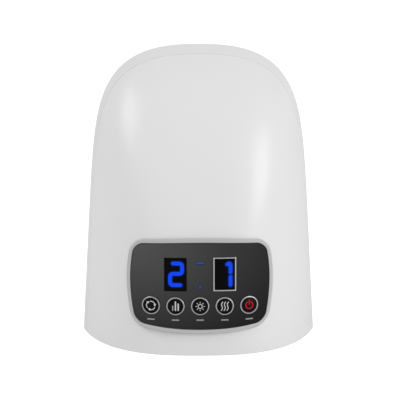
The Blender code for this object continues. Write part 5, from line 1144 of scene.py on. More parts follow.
# Indicator light guide: clear blue acrylic. A dash above and a dot below the middle show in
# the glass, and a bar on the display board joins them.
GUIDE_BAR_HALF_WIDTH = 0.001
GUIDE_BAR_THICKNESS = 0.0015
indicator_blue = skinned("blue_acrylic", "indicator_blue", (0.01, 0.05, 0.24), 0.3, grain=1500,
                         unevenness=0.2, mottle=0.1, Emission_Color=(0.01, 0.05, 0.4, 1),
                         Emission_Strength=0.16)
builder = bmesh.new()
add_slab(builder, (0, DASH_ROW), (DASH_HALF_WIDTH, DASH_HALF_HEIGHT), -WINDOW_RECESS,
         display_back, False)
guide = new_piece("indicator_light_guide", builder, indicator_blue,
                  replaces=["indicator_guide"])
builder = bmesh.new()
add_cylinder(builder, (0, DOT_ROW), DOT_RADIUS, -WINDOW_RECESS, display_back, (True, False), 32)
carve(guide, builder, "UNION")
builder = bmesh.new()
add_box(builder, (-GUIDE_BAR_HALF_WIDTH, DOT_ROW, display_back),
        (GUIDE_BAR_HALF_WIDTH, DASH_ROW, display_back + GUIDE_BAR_THICKNESS), PANEL)
carve(guide, builder, "UNION")


# Keys: five round black caps with a dished face, a flange that holds them behind the floor
# and a stem on the key mat. The marks on them are pad printed in white, and in red on power;
# the red print is given a faint painted glow.
KEY_PROUD = 0.0003
KEY_EDGE = 0.0003
KEY_FLANGE_THICKNESS = 0.0008
KEY_STEM_RADIUS = 0.0015
PRINT_LOW = 0.00002
PRINT_HIGH = 0.00007
key_black = skinned("black_key_abs", "key_black", (0.002, 0.002, 0.0025), 0.4, grain=2600,
                    depth=0.000012, unevenness=0.15, mottle=0.08, Specular_IOR_Level=0.1)
mark_white = skinned("white_print", "", (0.60, 0.61, 0.62), 0.6, grain=3000, unevenness=0.1,
                     mottle=0.04, Specular_IOR_Level=0.2)
mark_grey = skinned("grey_print", "", (0.30, 0.305, 0.31), 0.6, grain=3000, unevenness=0.1,
                    mottle=0.05, Specular_IOR_Level=0.2)
# The red print's faint emission is a painted glow: the print is no lamp.
painted_glow_red_mark = skinned("painted_glow_red_print", "", (0.42, 0.006, 0.006), 0.6, grain=3000, unevenness=0.1,
                   mottle=0.05, Specular_IOR_Level=0.1,
                   Emission_Color=(0.8, 0.01, 0.01, 1), Emission_Strength=0.06)
for name, across in KEY_PLACES.items():
    top = key_flange_top(across)
    profile = [(0, KEY_PROUD, True), (KEY_RADIUS - KEY_EDGE, KEY_PROUD, True),
               (KEY_RADIUS - KEY_EDGE * 0.3, KEY_PROUD - KEY_EDGE * 0.3, True),
               (KEY_RADIUS, KEY_PROUD - KEY_EDGE, True), (KEY_RADIUS, top, False),
               (KEY_FLANGE_RADIUS, top, False),
               (KEY_FLANGE_RADIUS, top - KEY_FLANGE_THICKNESS, False),
               (KEY_STEM_RADIUS, top - KEY_FLANGE_THICKNESS, False),
               (KEY_STEM_RADIUS, KEY_FOOT, False), (0, KEY_FOOT, False)]
    builder = bmesh.new()
    add_round(builder, (across, KEY_ROW), profile)
    new_piece(name + "_key_cap", builder, key_black, body=name + "_key",
              replaces=[name + "_button"])


def arc(radius, start, end, steps=12):
    """Points on a circle between two angles in degrees."""
    angles = [math.radians(start + (end - start) * step / steps) for step in range(steps + 1)]
    return [(radius * math.cos(angle), radius * math.sin(angle)) for angle in angles]


def print_mark(name, key, material, strokes, polygons=()):
    """A printed mark on a key, from strokes (points, width, closed) and small polygons."""
    across = KEY_PLACES[key]
    builder = bmesh.new()
    for points, width, closed in strokes:
        add_stroke(builder, [(across + x, KEY_ROW + y) for x, y in points], width,
                   KEY_PROUD + PRINT_HIGH, KEY_PROUD + PRINT_LOW, closed)
    for points in polygons:
        loops = []
        for depth in (KEY_PROUD + PRINT_LOW, KEY_PROUD + PRINT_HIGH):
            loops.append([builder.verts.new(on_panel((across + x, KEY_ROW + y, depth), True))
                          for x, y in points])
        join_loops(builder, [tuple(loops)])
        builder.faces.new(loops[0])
        builder.faces.new(loops[1])
    new_piece(name, builder, material, body=key + "_key")


CYCLE_RADIUS = 0.0033
CYCLE_WIDTH = 0.00065
ARROW_HALF = 0.0011
cycle, arrows = [], []
for start in (95, 215, 335):
    cycle.append((arc(CYCLE_RADIUS, start, start - 72), CYCLE_WIDTH, False))
    tip, base = math.radians(start - 108), math.radians(start - 74)
    arrows.append([(radius * math.cos(angle), radius * math.sin(angle)) for radius, angle in
                   ((CYCLE_RADIUS, tip), (CYCLE_RADIUS + ARROW_HALF, base),
                    (CYCLE_RADIUS - ARROW_HALF, base))])
print_mark("mode_mark", "mode", mark_white, cycle, arrows)
BAR_STEP = 0.0021
BAR_FOOT = -0.0030
BAR_WIDTH = 0.0010
BAR_LOW, BAR_TALL, BAR_MIDDLE = 0.0032, 0.0064, 0.0048
print_mark("intensity_mark", "intensity", mark_white,
           [([(x, BAR_FOOT), (x, BAR_FOOT + tall)], BAR_WIDTH, False)
            for x, tall in ((0, BAR_TALL), (BAR_STEP, BAR_MIDDLE))])
print_mark("intensity_low_mark", "intensity", mark_grey,
           [([(-BAR_STEP, BAR_FOOT), (-BAR_STEP, BAR_FOOT + BAR_LOW)], BAR_WIDTH, False)])
SUN_RADIUS, SUN_WIDTH = 0.0016, 0.00055
RAY_START, RAY_END, RAY_WIDTH = 0.0026, 0.0034, 0.0005
rays = [(arc(SUN_RADIUS, 0, 337.5, 15), SUN_WIDTH, True)]
for angle in range(0, 360, 45):
    way = Vector((math.cos(math.radians(angle)), math.sin(math.radians(angle))))
    rays.append(([tuple(way * RAY_START), tuple(way * RAY_END)], RAY_WIDTH, False))
print_mark("light_mark", "light", mark_white, rays)
WAVE_STEP, WAVE_SWAY, WAVE_LEAN, WAVE_TALL, WAVE_WIDTH = 0.0022, 0.0006, 0.0012, 0.0066, 0.0006
waves = []
for x in (-WAVE_STEP, 0, WAVE_STEP):
    points = []
    for step in range(25):
        share = step / 24
        points.append((x + WAVE_SWAY * math.sin(2 * math.pi * share) + WAVE_LEAN * (share - 0.5),
                       WAVE_TALL * (share - 0.5)))
    waves.append((points, WAVE_WIDTH, False))
print_mark("heat_mark", "heat", mark_white, waves)
POWER_RADIUS, POWER_WIDTH = 0.0027, 0.00095
POWER_BAR_LOW, POWER_BAR_HIGH = 0.0006, 0.0036
print_mark("power_mark", "power", painted_glow_red_mark,
           [(arc(POWER_RADIUS, 122, 418, 24), POWER_WIDTH, False),
            ([(0, POWER_BAR_LOW), (0, POWER_BAR_HIGH)], POWER_WIDTH, False)])

# Plain bars, printed on the glass, fill the place under each key.
LABEL_ROW = -0.0259
LABEL_HALF_WIDTH = 0.0024
LABEL_STROKE = 0.001
builder = bmesh.new()
for across in KEY_PLACES.values():
    add_stroke(builder, [(across + LABEL_HALF_WIDTH * step / 4, LABEL_ROW)
                         for step in range(-4, 5)], LABEL_STROKE, PRINT_HIGH, PRINT_LOW)
new_piece("glass_marks", builder, mark_grey)


# Key mat: one sheet of grey silicone rubber on the display board, with a hollow dome under
# each key. The domes spring back, so each is a piece of its own.
MAT_THICKNESS = 0.001
MAT_MARGIN = 0.0008
DOME_RADIUS = 0.0048
DOME_TOP_RADIUS = 0.0026
DOME_WALL = 0.0007
MAT_CORNER = 0.001
mat_back = BOARD_FRONT + FIT_GAP
mat_front = mat_back + MAT_THICKNESS
mat_rubber = skinned("key_mat_rubber", "rubber_grey", (0.24, 0.24, 0.25), 0.6, grain=1600,
                     depth=0.00002, unevenness=0.15, mottle=0.08)
builder = bmesh.new()
half_tall = DOME_RADIUS + MAT_MARGIN
half_wide = 2 * KEY_PITCH + half_tall
add_prism(builder, [(x, y + KEY_ROW) for x, y in
                    rounded_outline(half_wide, -half_tall, half_tall, MAT_CORNER,
                                    edge_steps=8)],
          mat_back, mat_front, PANEL)
mat = new_piece("key_mat_sheet", builder, mat_rubber, replaces=["key_mat"])
builder = bmesh.new()
for across in KEY_PLACES.values():
    add_cylinder(builder, (across, KEY_ROW), DOME_RADIUS - DOME_WALL, mat_front + BACK_SPARE,
                 mat_back - BACK_SPARE, (False, False), 32)
for place in post_places[2:]:
    add_cylinder(builder, place, POST_RADIUS + FIT_GAP, mat_front + BACK_SPARE,
                 mat_back - BACK_SPARE, (False, False), 20)
carve(mat, builder)
for key, across in KEY_PLACES.items():
    outer = [(DOME_RADIUS - 0.0001, mat_front), (DOME_RADIUS - 0.0004, mat_front + 0.0004),
             (DOME_TOP_RADIUS + 0.0005, DOME_TOP - 0.0008), (DOME_TOP_RADIUS, DOME_TOP - 0.0002),
             (DOME_TOP_RADIUS - 0.0003, DOME_TOP), (0, DOME_TOP)]
    inner = [(max(0, radius - DOME_WALL), depth - DOME_WALL * min(1, step / 2))
             for step, (radius, depth) in enumerate(outer)]
    builder = bmesh.new()
    add_round(builder, (across, KEY_ROW), [(radius, depth, False) for radius, depth in
                                           inner[::-1] + outer], 32)
    dome = new_piece(key + "_mat_dome", builder, mat_rubber, body=None)
    on_panel((across, KEY_ROW, mat_front), False)
    on_panel((across, KEY_ROW, DOME_TOP - DOME_WALL), False)
    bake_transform(dome)


# Knee liner: one piece of stretch knit, pulled smooth over the inside of the whole tub and
# turned under at its mouth. The stitches run round the tub and in towards its front.
LINER_EDGE = 0.004
LINER_THICKNESS = 0.0015
STITCH = 0.0016
HOLE_SPARE = 0.003
CROWN_CENTRE = 0.1
CROWN_GIRTH_RADIUS = 0.085
knit, given, made = new_group(
    "knit_stitches",
    {"Place": ("NodeSocketVector", None), "Stitch": ("NodeSocketFloat", 0.0016),
     "Colour": ("NodeSocketColor", None), "Shade": ("NodeSocketFloat", 0.5)},
    {"Colour": "NodeSocketColor", "Height": "NodeSocketFloat"})
parts = knit.nodes.new("ShaderNodeSeparateXYZ")
knit.links.new(given.outputs["Place"], parts.inputs[0])
columns = calculate(knit, "DIVIDE", parts.outputs["X"], given.outputs["Stitch"])
rows = calculate(knit, "DIVIDE", parts.outputs["Y"], given.outputs["Stitch"])
slant = calculate(knit, "PINGPONG", columns, 0.5)
loop_rows = calculate(knit, "MULTIPLY_ADD", slant, 1.1, rows)
waves = []
for value in (columns, loop_rows):
    turned = calculate(knit, "MULTIPLY", value, 2 * math.pi)
    waves.append(calculate(knit, "COSINE", turned))
relief = calculate(knit, "MULTIPLY_ADD", waves[0], -0.5, waves[1])
fuzz = noise(knit, given.outputs["Place"], 5200, 3)
relief = calculate(knit, "MULTIPLY_ADD", fuzz, 0.8, relief)
knit.links.new(relief, made.inputs["Height"])
# Painted shade: the colour is darker in the stitch hollows and lighter on the raised loops,
# following the relief.
brightness = calculate(knit, "MULTIPLY_ADD", relief, 0.12, 0.86)
worn = noise(knit, given.outputs["Place"], 30, 2)
worn = calculate(knit, "MULTIPLY_ADD", worn, given.outputs["Shade"], brightness)
knit.links.new(shade_colour(knit, given.outputs["Colour"], worn), made.inputs["Colour"])


def knitted(name, slot, colour, stitch, depth, shade=0.12, **sockets):
    """A knit fabric, whose stitches follow the cloth_place attribute of its piece."""
    material, tree, shader = principled(name, slot, colour, 0.85, **sockets)
    place = tree.nodes.new("ShaderNodeAttribute")
    place.attribute_name = "cloth_place"
    stitches = tree.nodes.new("ShaderNodeGroup")
    stitches.node_tree = knit
    tree.links.new(place.outputs["Vector"], stitches.inputs["Place"])
    stitches.inputs["Stitch"].default_value = stitch
    stitches.inputs["Colour"].default_value = (*colour, 1)
    stitches.inputs["Shade"].default_value = shade
    bump = tree.nodes.new("ShaderNodeBump")
    bump.inputs["Distance"].default_value = depth
    tree.links.new(stitches.outputs["Height"], bump.inputs["Height"])
    tree.links.new(bump.outputs["Normal"], shader.inputs["Normal"])
    tree.links.new(stitches.outputs["Colour"], shader.inputs["Base Color"])
    return material


def lay_cloth(piece, place):
    """Gives each vertex its place on the cloth, worked out from its point."""
    values = piece.data.attributes.new("cloth_place", "FLOAT_VECTOR", "POINT")
    for vertex in piece.data.vertices:
        values.data[vertex.index].vector = place(vertex.co)


def tub_cloth_place(point):
    """Distance round the tub and in from its mouth at a point, for the liner's stitches."""
    reach = REAR_PLANE - point.y
    scale = max(0.05, arch_scale(min(1, max(0, reach) / TUB_IN[2])))
    turn = math.atan2(point.x, point.z - CROWN_CENTRE)
    around = turn * CROWN_GIRTH_RADIUS / scale if point.z > CROWN_CENTRE else math.copysign(
        math.pi / 2 * CROWN_GIRTH_RADIUS + (CROWN_CENTRE - point.z), point.x)
    return (around, math.hypot(reach, TUB_IN[0] * (1 - scale)), 0)


liner_knit = knitted("liner_knit", "liner_fabric", (0.33, 0.34, 0.37), STITCH, 0.0002,
                     Sheen_Weight=0.3, Sheen_Roughness=0.5)
outer, inner = inset(TUB_IN, FIT_GAP), inset(TUB_IN, FIT_GAP + LINER_THICKNESS)
middle, half = inset(TUB_IN, FIT_GAP + LINER_THICKNESS / 2), LINER_THICKNESS / 2
liner_rows = arch_skin(outer, LINER_EDGE + half) + arch_skin(inner, LINER_EDGE + half)[::-1]
for step in (1, 2, 3):
    angle = math.pi * step / 4
    form = inset(middle, half * math.cos(angle))
    liner_rows.append(arch_row(form, LINER_EDGE + half * (1 - math.sin(angle))))
liner = new_piece("knee_liner_knit", loft(liner_rows), liner_knit, replaces=["knee_liner"])
holes = bmesh.new()
for side in (1, -1):
    add_hose_hole(holes, side, TUB_IN, HOLE_SPARE)
carve(liner, holes)
lay_cloth(liner, tub_cloth_place)


# Red light lenses: one moulding of clear red acrylic, a thin sheet with six domed lenses
# that look through the front pad. The light board and heating film lie behind it.
LAYER_GAP = 0.0006
FILM_THICKNESS = 0.0005
LIGHT_BOARD_THICKNESS = 0.0008
LENS_SHEET_THICKNESS = 0.0008
FRONT_PAD_THICKNESS = 0.007
FRONT_PAD_HALF_WIDTH = 0.033
FRONT_PAD_LOW = 0.020
FRONT_PAD_HIGH = TUB_OUT[1] * 0.625
FRONT_PAD_CORNER = 0.014
FILM_MARGIN = 0.004
LAMP_RADIUS = 0.0045
LAMP_PROUD = 0.0012
LAMP_COLUMNS = (-0.47, 0.47)
LAMP_ROWS = (0.215, 0.5, 0.785)
EDGE_SHARE = 0.42
film_offset = FIT_GAP + LINER_THICKNESS + LAYER_GAP
lens_offset = film_offset + FILM_THICKNESS + LIGHT_BOARD_THICKNESS + 2 * FIT_GAP
pad_offset = lens_offset + LENS_SHEET_THICKNESS + LAYER_GAP


def add_sheet(builder, outer, inner, across_steps, up_steps):
    """A closed sheet between two grids of points, which are functions of two shares."""
    grids = []
    for place in (outer, inner):
        grids.append([[builder.verts.new(place(a / across_steps, b / up_steps))
                       for a in range(across_steps + 1)] for b in range(up_steps + 1)])
    for grid in grids:
        for low_row, high_row in zip(grid, grid[1:]):
            for a in range(across_steps):
                builder.faces.new((low_row[a], low_row[a + 1], high_row[a + 1], high_row[a]))
    rims = []
    for grid in grids:
        rims.append(grid[0][:-1] + [row[-1] for row in grid[:-1]]
                    + grid[-1][:0:-1] + [row[0] for row in grid[:0:-1]])
    join_loops(builder, [(rims[0], rims[1])])


def eased(share):
    """Shares crowded towards both ends, where corners turn."""
    return (1 - math.cos(math.pi * share)) / 2


def corner_inset(low, high, value, corner):
    """How far a round corner draws the side in at a height between two ends."""
    from_end = max(0, min(value - low, high - value))
    if from_end >= corner:
        return 0
    return corner - math.sqrt(corner ** 2 - (corner - from_end) ** 2)


def pillow(a, b):
    """Share of full thickness at signed shares across and up a pad."""
    crown = math.sqrt(max(0, 1 - abs(a) ** 3) * max(0, 1 - abs(b) ** 6))
    return EDGE_SHARE + (1 - EDGE_SHARE) * crown


def front_place(offset, margin, thickness=None):
    """A grid on the front of the tub, at an offset from its inner skin."""
    low, high = FRONT_PAD_LOW + margin, FRONT_PAD_HIGH - margin
    form = inset(TUB_IN, offset)

    def place(a, b):
        height = low + (high - low) * eased(b)
        half = FRONT_PAD_HALF_WIDTH - margin
        half -= corner_inset(low, high, height, FRONT_PAD_CORNER - margin)
        across = half * (2 * eased(a) - 1)
        reach = reach_at(form, across, height)
        if thickness:
            reach -= thickness(2 * eased(a) - 1, 2 * eased(b) - 1)
        return Vector((across, REAR_PLANE - reach, height))
    return place


lamp_acrylic = skinned("red_acrylic", "lamp_red", (0.42, 0.012, 0.012), 0.12, grain=500,
                       depth=0.00001, unevenness=0.2, mottle=0.12, Coat_Weight=0.6,
                       Coat_Roughness=0.05, Transmission_Weight=0.25)
builder = bmesh.new()
add_sheet(builder, front_place(lens_offset, FILM_MARGIN),
          front_place(lens_offset + LENS_SHEET_THICKNESS, FILM_MARGIN), 20, 28)
lamp_lenses = new_piece("red_light_lenses", builder, lamp_acrylic, replaces=["light_lenses"])
pad_tall = FRONT_PAD_HIGH - FRONT_PAD_LOW
sheet_form = inset(TUB_IN, lens_offset + LENS_SHEET_THICKNESS / 2)
domes, lamp_holes = bmesh.new(), bmesh.new()
for column in LAMP_COLUMNS:
    for row in LAMP_ROWS:
        across, height = column * FRONT_PAD_HALF_WIDTH, FRONT_PAD_LOW + row * pad_tall
        root = reach_at(sheet_form, abs(across) + LAMP_RADIUS, height + LAMP_RADIUS)
        face = reach_at(inset(TUB_IN, pad_offset), across, height)
        face -= FRONT_PAD_THICKNESS * pillow(column, 2 * row - 1)
        place = Matrix(((1, 0, 0, across), (0, 0, 1, REAR_PLANE - root), (0, -1, 0, height),
                        (0, 0, 0, 1)))
        length = root - face
        profile = [(0, 0), (LAMP_RADIUS, 0)]
        for step in range(9):
            angle = math.pi / 2 * step / 8
            profile.append((LAMP_RADIUS * math.cos(angle),
                            length + LAMP_PROUD * math.sin(angle)))
        profile[-1] = (0, length + LAMP_PROUD)
        add_turned(domes, profile, place, 32)
        hole_radius = LAMP_RADIUS + FIT_GAP
        add_turned(lamp_holes, [(0, -2 * LAMP_RADIUS), (hole_radius, -2 * LAMP_RADIUS),
                                (hole_radius, length + LAMP_RADIUS),
                                (0, length + LAMP_RADIUS)], place, 40)
carve(lamp_lenses, domes, "UNION")


# Front pad: a soft pad of black silicone over the heating film, crowned in the middle and
# drawn in at its corners, with a hole for each lens.
black_silicone = skinned("black_silicone", "pad_silicone", (0.055, 0.055, 0.06), 0.55,
                         grain=1500, depth=0.00003, unevenness=0.15, mottle=0.1,
                         Sheen_Weight=0.1)
builder = bmesh.new()
add_sheet(builder, front_place(pad_offset, 0),
          front_place(pad_offset, 0, lambda a, b: FRONT_PAD_THICKNESS * pillow(a, b)), 36, 48)
front_pad = new_piece("front_knee_pad", builder, black_silicone, replaces=["front_pad"])
carve(front_pad, lamp_holes)


# Air bags: two flat bags of welded film between the liner and the cushions. Their rims are
# heat sealed thin, and as they fill they push the cushions in.
CUSHION_REAR = 0.006
CUSHION_FRONT = TUB_OUT[2] * 0.548
CUSHION_LOW = 0.014
CUSHION_HIGH = TUB_OUT[1] * 0.63
CUSHION_CORNER = (CUSHION_FRONT - CUSHION_REAR) * 0.39
CUSHION_WAIST = (CUSHION_FRONT - CUSHION_REAR) * 0.063
CUSHION_THICKNESS = 0.013
CHANNEL_SHARES = (0.25, 0.5, 0.75)
CHANNEL_WIDTH_SHARE = 0.022
CHANNEL_DEPTH_SHARE = 0.34
BAG_THICKNESS = 0.0035
BAG_MARGIN = 0.004


def side_place(side, offset, margin, thickness=None):
    """A grid on a side of the tub, at an offset from its inner skin."""
    form = inset(TUB_IN, offset)
    low, high = CUSHION_LOW + margin, CUSHION_HIGH - margin
    rear, front = CUSHION_REAR + margin, CUSHION_FRONT - margin

    def place(a, b):
        height = low + (high - low) * b
        waist = CUSHION_WAIST * (1 - (2 * b - 1) ** 2)
        pinch = corner_inset(low, high, height, CUSHION_CORNER - margin) + waist
        reach = rear + pinch + (front - rear - 2 * pinch) * eased(a)
        half_width = half_width_at(form, reach, height)
        if thickness:
            half_width -= thickness(2 * eased(a) - 1, b)
        return Vector((side * half_width, REAR_PLANE - reach, height))
    return place


def bag_swell(a, b):
    """Thickness of a flat bag: full in the middle and thin at the welded rim."""
    rim = min(1, (1 - abs(a)) / 0.12, min(b, 1 - b) / 0.05)
    return BAG_THICKNESS * (0.25 + 0.75 * math.sin(math.pi / 2 * max(0, rim)))


welded_film = skinned("welded_film", "bag_film", (0.58, 0.60, 0.62), 0.3, grain=260,
                      depth=0.00012, cloud=60, unevenness=0.3, mottle=0.05, Coat_Weight=0.3)
bag_offset = FIT_GAP + LINER_THICKNESS + LAYER_GAP
cushion_offset = bag_offset + BAG_THICKNESS + LAYER_GAP
for name, side in (("left", -1), ("right", 1)):
    builder = bmesh.new()
    add_sheet(builder, side_place(side, bag_offset, BAG_MARGIN),
              side_place(side, bag_offset, BAG_MARGIN, bag_swell), 20, 48)
    bag = new_piece(name + "_film_bag", builder, welded_film, body=None,
                    replaces=[name + "_air_bag"])
    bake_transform(bag)


# Side cushions: foam in a soft knit cover, quilted across with three sewn channels. Each is
# crowned, its sides draw in between the corners, and it moves in as its air bag fills.
CUSHION_STITCH = 0.0011
SLACK = 0.0006
SLACK_SHARE = 0.88
VOXEL = 0.0021
SWELL_PRESSURE = 4
SWELL_FRAMES = 20
SWELL_LIMIT = 0.0012
cushion_knit = knitted("cushion_knit", "cushion_fabric", (0.40, 0.41, 0.44), CUSHION_STITCH,
                       0.00015, Sheen_Weight=0.35, Sheen_Roughness=0.5)


def cushion_cloth_place(point):
    """Height and reach on the cover, for its stitches."""
    return (point.z, point.y, 0)


def swell(piece, limit):
    """Fills a closed cover with air as cloth, and caps how far each point may move."""
    cloth = piece.modifiers.new("swell", "CLOTH")
    cloth.settings.use_pressure = True
    cloth.settings.uniform_pressure_force = SWELL_PRESSURE
    cloth.settings.effector_weights.gravity = 0
    cloth.settings.quality = 6
    for frame in range(1, SWELL_FRAMES + 1):
        bpy.context.scene.frame_set(frame)
    depsgraph = bpy.context.evaluated_depsgraph_get()
    swollen = [vertex.co.copy() for vertex in piece.evaluated_get(depsgraph).data.vertices]
    piece.modifiers.clear()
    bpy.context.scene.frame_set(1)
    for vertex, goal in zip(piece.data.vertices, swollen):
        step = goal - vertex.co
        vertex.co += step * (min(step.length, limit) / max(step.length, limit * 0.001))


def sew(piece, side):
    """Pulls a cover in along its sewn channels, and keeps its back clear of the air bag."""
    form = inset(TUB_IN, cushion_offset)
    for vertex in piece.data.vertices:
        point = vertex.co
        back = half_width_at(form, REAR_PLANE - point.y, point.z)
        share = (point.z - CUSHION_LOW) / (CUSHION_HIGH - CUSHION_LOW)
        sewn = sum(math.exp(-((share - channel) / CHANNEL_WIDTH_SHARE) ** 2)
                   for channel in CHANNEL_SHARES)
        thick = max(0, back - side * point.x)
        point.x = side * (back - thick * (1 - CHANNEL_DEPTH_SHARE * sewn))


for name, side in (("left", -1), ("right", 1)):
    builder = bmesh.new()
    add_sheet(builder, side_place(side, cushion_offset + SLACK, SLACK),
              side_place(side, cushion_offset + SLACK, SLACK,
                         lambda a, b: SLACK_SHARE * CUSHION_THICKNESS * pillow(a, 2 * b - 1)),
              24, 60)
    cushion = new_object(name + "_quilted_cushion", builder)
    remesh = cushion.modifiers.new("remesh", "REMESH")
    remesh.mode = "VOXEL"
    remesh.voxel_size = VOXEL
    apply_modifiers(cushion)
    swell(cushion, SWELL_LIMIT)
    rounder = cushion.modifiers.new("rounder", "SUBSURF")
    rounder.levels = rounder.render_levels = 1
    apply_modifiers(cushion)
    sew(cushion, side)
    make_piece(cushion, cushion_knit, name + "_pad", [name + "_cushion"])
    cushion.data.shade_smooth()
    lay_cloth(cushion, cushion_cloth_place)


# Charging socket: a drawn steel shell in a slot through the rear flange, with a tongue and
# gold contacts inside it.
SOCKET_LENGTH = 0.0075
SOCKET_SKIN = 0.0003
SOCKET_RECESS = 0.0006
SOCKET_EAR = 0.0015
TONGUE_HALF = 0.0003
TONGUE_RECESS = 0.0009
CONTACT_COUNT = 6
CONTACT_HALF_WIDTH = 0.00013
CONTACT_LOW = 0.00001
CONTACT_HIGH = 0.00006
CONTACT_START = 0.0011
CONTACT_END = 0.0045


def pill(half_width, half_height):
    """The outline of a charging socket: a slot with round ends."""
    return rounded_outline(half_width, -half_height, half_height, half_height * 0.96,
                           edge_steps=4)


builder = bmesh.new()
inward = facing_back(*SOCKET_PLACE)
add_prism(builder, pill(SOCKET_HALF_WIDTH, SOCKET_HALF_HEIGHT), SOCKET_RECESS,
          SOCKET_RECESS + SOCKET_LENGTH, inward)
socket = new_piece("charging_socket_shell", builder, steel, replaces=["charging_socket"])
builder = bmesh.new()
add_prism(builder, rounded_outline(SOCKET_HALF_WIDTH + SOCKET_EAR, -SOCKET_HALF_HEIGHT
                                   - SOCKET_EAR, SOCKET_HALF_HEIGHT + SOCKET_EAR, SOCKET_EAR / 2,
                                   edge_steps=4),
          FLANGE_WALL + FIT_GAP, SOCKET_RECESS + SOCKET_LENGTH + SOCKET_EAR, inward)
carve(socket, builder, "UNION")
builder = bmesh.new()
mouth = pill(SOCKET_HALF_WIDTH - SOCKET_SKIN, SOCKET_HALF_HEIGHT - SOCKET_SKIN)
add_prism(builder, mouth, -INNER_SPARE, SOCKET_RECESS + SOCKET_LENGTH, inward)
carve(socket, builder)
tongue_plastic = skinned("tongue_plastic", "dark_plastic", (0.02, 0.02, 0.022), 0.45,
                         unevenness=0.15)
contact_gold = skinned("contact_gold", "", (0.72, 0.52, 0.20), 0.28, grain=3000,
                       unevenness=0.15, mottle=0.05, Metallic=1.0)
tongue_half_width = SOCKET_HALF_WIDTH - SOCKET_HALF_HEIGHT
builder = bmesh.new()
add_box(builder, (-tongue_half_width, -TONGUE_HALF, SOCKET_RECESS + TONGUE_RECESS),
        (tongue_half_width, TONGUE_HALF, SOCKET_RECESS + SOCKET_LENGTH), inward)
new_piece("socket_tongue", builder, tongue_plastic)
builder = bmesh.new()
for number in range(CONTACT_COUNT):
    middle = tongue_half_width * (2 * (number + 0.5) / CONTACT_COUNT - 1)
    for side in (1, -1):
        heights = sorted((side * (TONGUE_HALF + CONTACT_LOW),
                          side * (TONGUE_HALF + CONTACT_HIGH)))
        add_box(builder, (middle - CONTACT_HALF_WIDTH, heights[0], SOCKET_RECESS + CONTACT_START),
                (middle + CONTACT_HALF_WIDTH, heights[1], SOCKET_RECESS + CONTACT_END), inward)
new_piece("socket_contacts", builder, contact_gold)


# Inner parts: boards, battery, pump, valve, hoses and vibration motor keep their CAD bodies
# inside the hood. Small bevels round their edges, and each has the finish of its real part.
INNER_BEVEL = 0.00025
INNER_ANGLE = math.radians(35)
WELD_REACH = 0.000002


def dress(names, material, round_tube=False):
    """Gives CAD nodes a finish, and rounds their edges with modifiers."""
    for name in names:
        node = bpy.data.objects[name]
        for slot in node.material_slots:
            slot.link = "OBJECT"
            slot.material = material
        weld = node.modifiers.new("weld", "WELD")
        weld.merge_threshold = WELD_REACH
        if round_tube:
            smooth = node.modifiers.new("round", "SUBSURF")
            smooth.levels = smooth.render_levels = 1
        else:
            bevel = node.modifiers.new("edges", "BEVEL")
            bevel.width = INNER_BEVEL
            bevel.segments = 2
            bevel.limit_method = "ANGLE"
            bevel.angle_limit = INNER_ANGLE


board_green = skinned("green_board", "board_green", (0.02, 0.17, 0.07), 0.35, grain=700,
                      depth=0.00002, cloud=220, unevenness=0.3, mottle=0.18, Coat_Weight=0.4)
cell_wrap = skinned("blue_cell_wrap", "cell_wrap", (0.06, 0.20, 0.42), 0.3, grain=300,
                    depth=0.00001, unevenness=0.25, mottle=0.06, Coat_Weight=0.4)
dark_plastic = skinned("dark_moulding", "dark_plastic", (0.03, 0.03, 0.032), 0.45, grain=2500,
                       unevenness=0.15, mottle=0.08)
hose_clear = skinned("clear_hose", "hose_clear", (0.55, 0.57, 0.58), 0.25, grain=400,
                     unevenness=0.2, mottle=0.04, Transmission_Weight=0.3)
lead_black = skinned("black_leads", "lead_black", (0.015, 0.015, 0.016), 0.5, grain=1800,
                     unevenness=0.2, mottle=0.1)
film_amber = skinned("amber_film", "film_amber", (0.50, 0.24, 0.04), 0.3, grain=500,
                     depth=0.00001, cloud=120, unevenness=0.25, mottle=0.15)
dress(["display_board", "control_board", "light_board"], board_green)
dress(["battery_cell_lower", "battery_cell_upper"], cell_wrap)
dress(["battery_holder", "control_chip", "power_capacitor", "pump_head", "pump_bracket",
       "vibration_bracket", "temperature_sensor"], dark_plastic)
dress(["pump_motor", "pump_shaft", "exhaust_valve", "valve_plunger", "vibration_motor",
       "vibration_weight"] + [f"board_screw_{number}" for number in (1, 2, 3, 4)], steel)
dress(["air_manifold"], white_satin)
dress(["left_air_hose", "right_air_hose"], hose_clear, True)
dress(["board_leads"], lead_black, True)
dress(["heating_film"], film_amber)


# Floor, camera and light: a plain pale floor, the camera of the photo, and soft lamps on the
# left, on the right and behind. The camera sees the floor and sky as white, shadows aside.
CAMERA_TARGET = Vector((0.00055, 0, 0.1128))
CAMERA_DISTANCE = 1.5
CAMERA_HEIGHT_ANGLE = math.radians(11.5)
CAMERA_SIDE_ANGLE = math.radians(-0.9)
CAMERA_SENSOR = 36
CAMERA_LENS = 175.14
FLOOR_HALF = 6
FLOOR_LIFT = 0.6
WORLD_STRENGTH = 0.64
WORLD_LIFT = 0.36

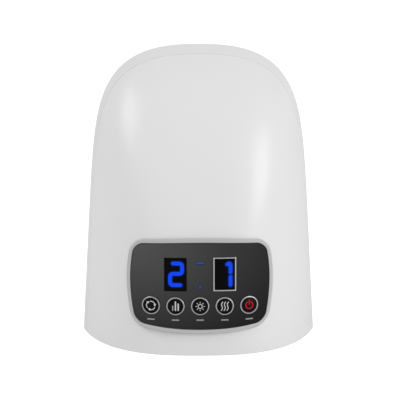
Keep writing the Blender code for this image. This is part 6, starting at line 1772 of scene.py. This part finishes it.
floor_white, tree, shader = principled("pale_floor", "", (0.80, 0.80, 0.80), 0.85)
rays = tree.nodes.new("ShaderNodeLightPath")
seen = calculate(tree, "MAXIMUM", rays.outputs["Is Camera Ray"],
                 rays.outputs["Is Transmission Ray"])
lift = calculate(tree, "MULTIPLY", seen, FLOOR_LIFT)
shader.inputs["Emission Color"].default_value = (1, 1, 1, 1)
tree.links.new(lift, shader.inputs["Emission Strength"])
builder = bmesh.new()
builder.faces.new([builder.verts.new((x * FLOOR_HALF, y * FLOOR_HALF, 0))
                   for x, y in ((-1, -1), (1, -1), (1, 1), (-1, 1))])
floor = new_object("floor", builder)
floor.data.materials.append(floor_white)
floor.location.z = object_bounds()[0][2]

world = bpy.data.worlds.new("studio")
bpy.context.scene.world = world
world.use_nodes = True
tree = world.node_tree
rays = tree.nodes.new("ShaderNodeLightPath")
seen = calculate(tree, "MAXIMUM", rays.outputs["Is Camera Ray"],
                 rays.outputs["Is Transmission Ray"])
strength = calculate(tree, "MULTIPLY_ADD", seen, WORLD_LIFT, WORLD_STRENGTH)
tree.nodes["Background"].inputs["Color"].default_value = (1, 1, 1, 1)
tree.links.new(strength, tree.nodes["Background"].inputs["Strength"])


def lamp(name, place, aim, size, power):
    """A soft rectangular lamp that points at a place."""
    data = bpy.data.lights.new(name, "AREA")
    data.shape = "RECTANGLE"
    data.size, data.size_y = size
    data.energy = power
    made = bpy.data.objects.new(name, data)
    bpy.context.scene.collection.objects.link(made)
    made.location = place
    made.rotation_euler = (Vector(aim) - Vector(place)).to_track_quat("-Z", "Y").to_euler()


lamp("key_lamp", (-1.3, -0.25, 1.1), (0, 0, 0.13), (0.9, 0.7), 6.8)
lamp("side_lamp", (1.3, -0.95, 0.65), (0, 0, 0.12), (0.9, 0.9), 10)
lamp("back_lamp", (0.3, 1.5, 0.8), (0, 0, 0.1), (1.2, 1.2), 3)

camera = bpy.data.objects.new("camera", bpy.data.cameras.new("camera"))
bpy.context.scene.collection.objects.link(camera)
camera.data.sensor_width = CAMERA_SENSOR
camera.data.lens = CAMERA_LENS
flat = CAMERA_DISTANCE * math.cos(CAMERA_HEIGHT_ANGLE)
camera.location = CAMERA_TARGET + Vector((flat * math.sin(CAMERA_SIDE_ANGLE),
                                          -flat * math.cos(CAMERA_SIDE_ANGLE),
                                          CAMERA_DISTANCE * math.sin(CAMERA_HEIGHT_ANGLE)))
camera.rotation_euler = (CAMERA_TARGET - camera.location).to_track_quat("-Z", "Y").to_euler()
bpy.context.scene.camera = camera
bpy.context.scene.view_settings.view_transform = "Standard"
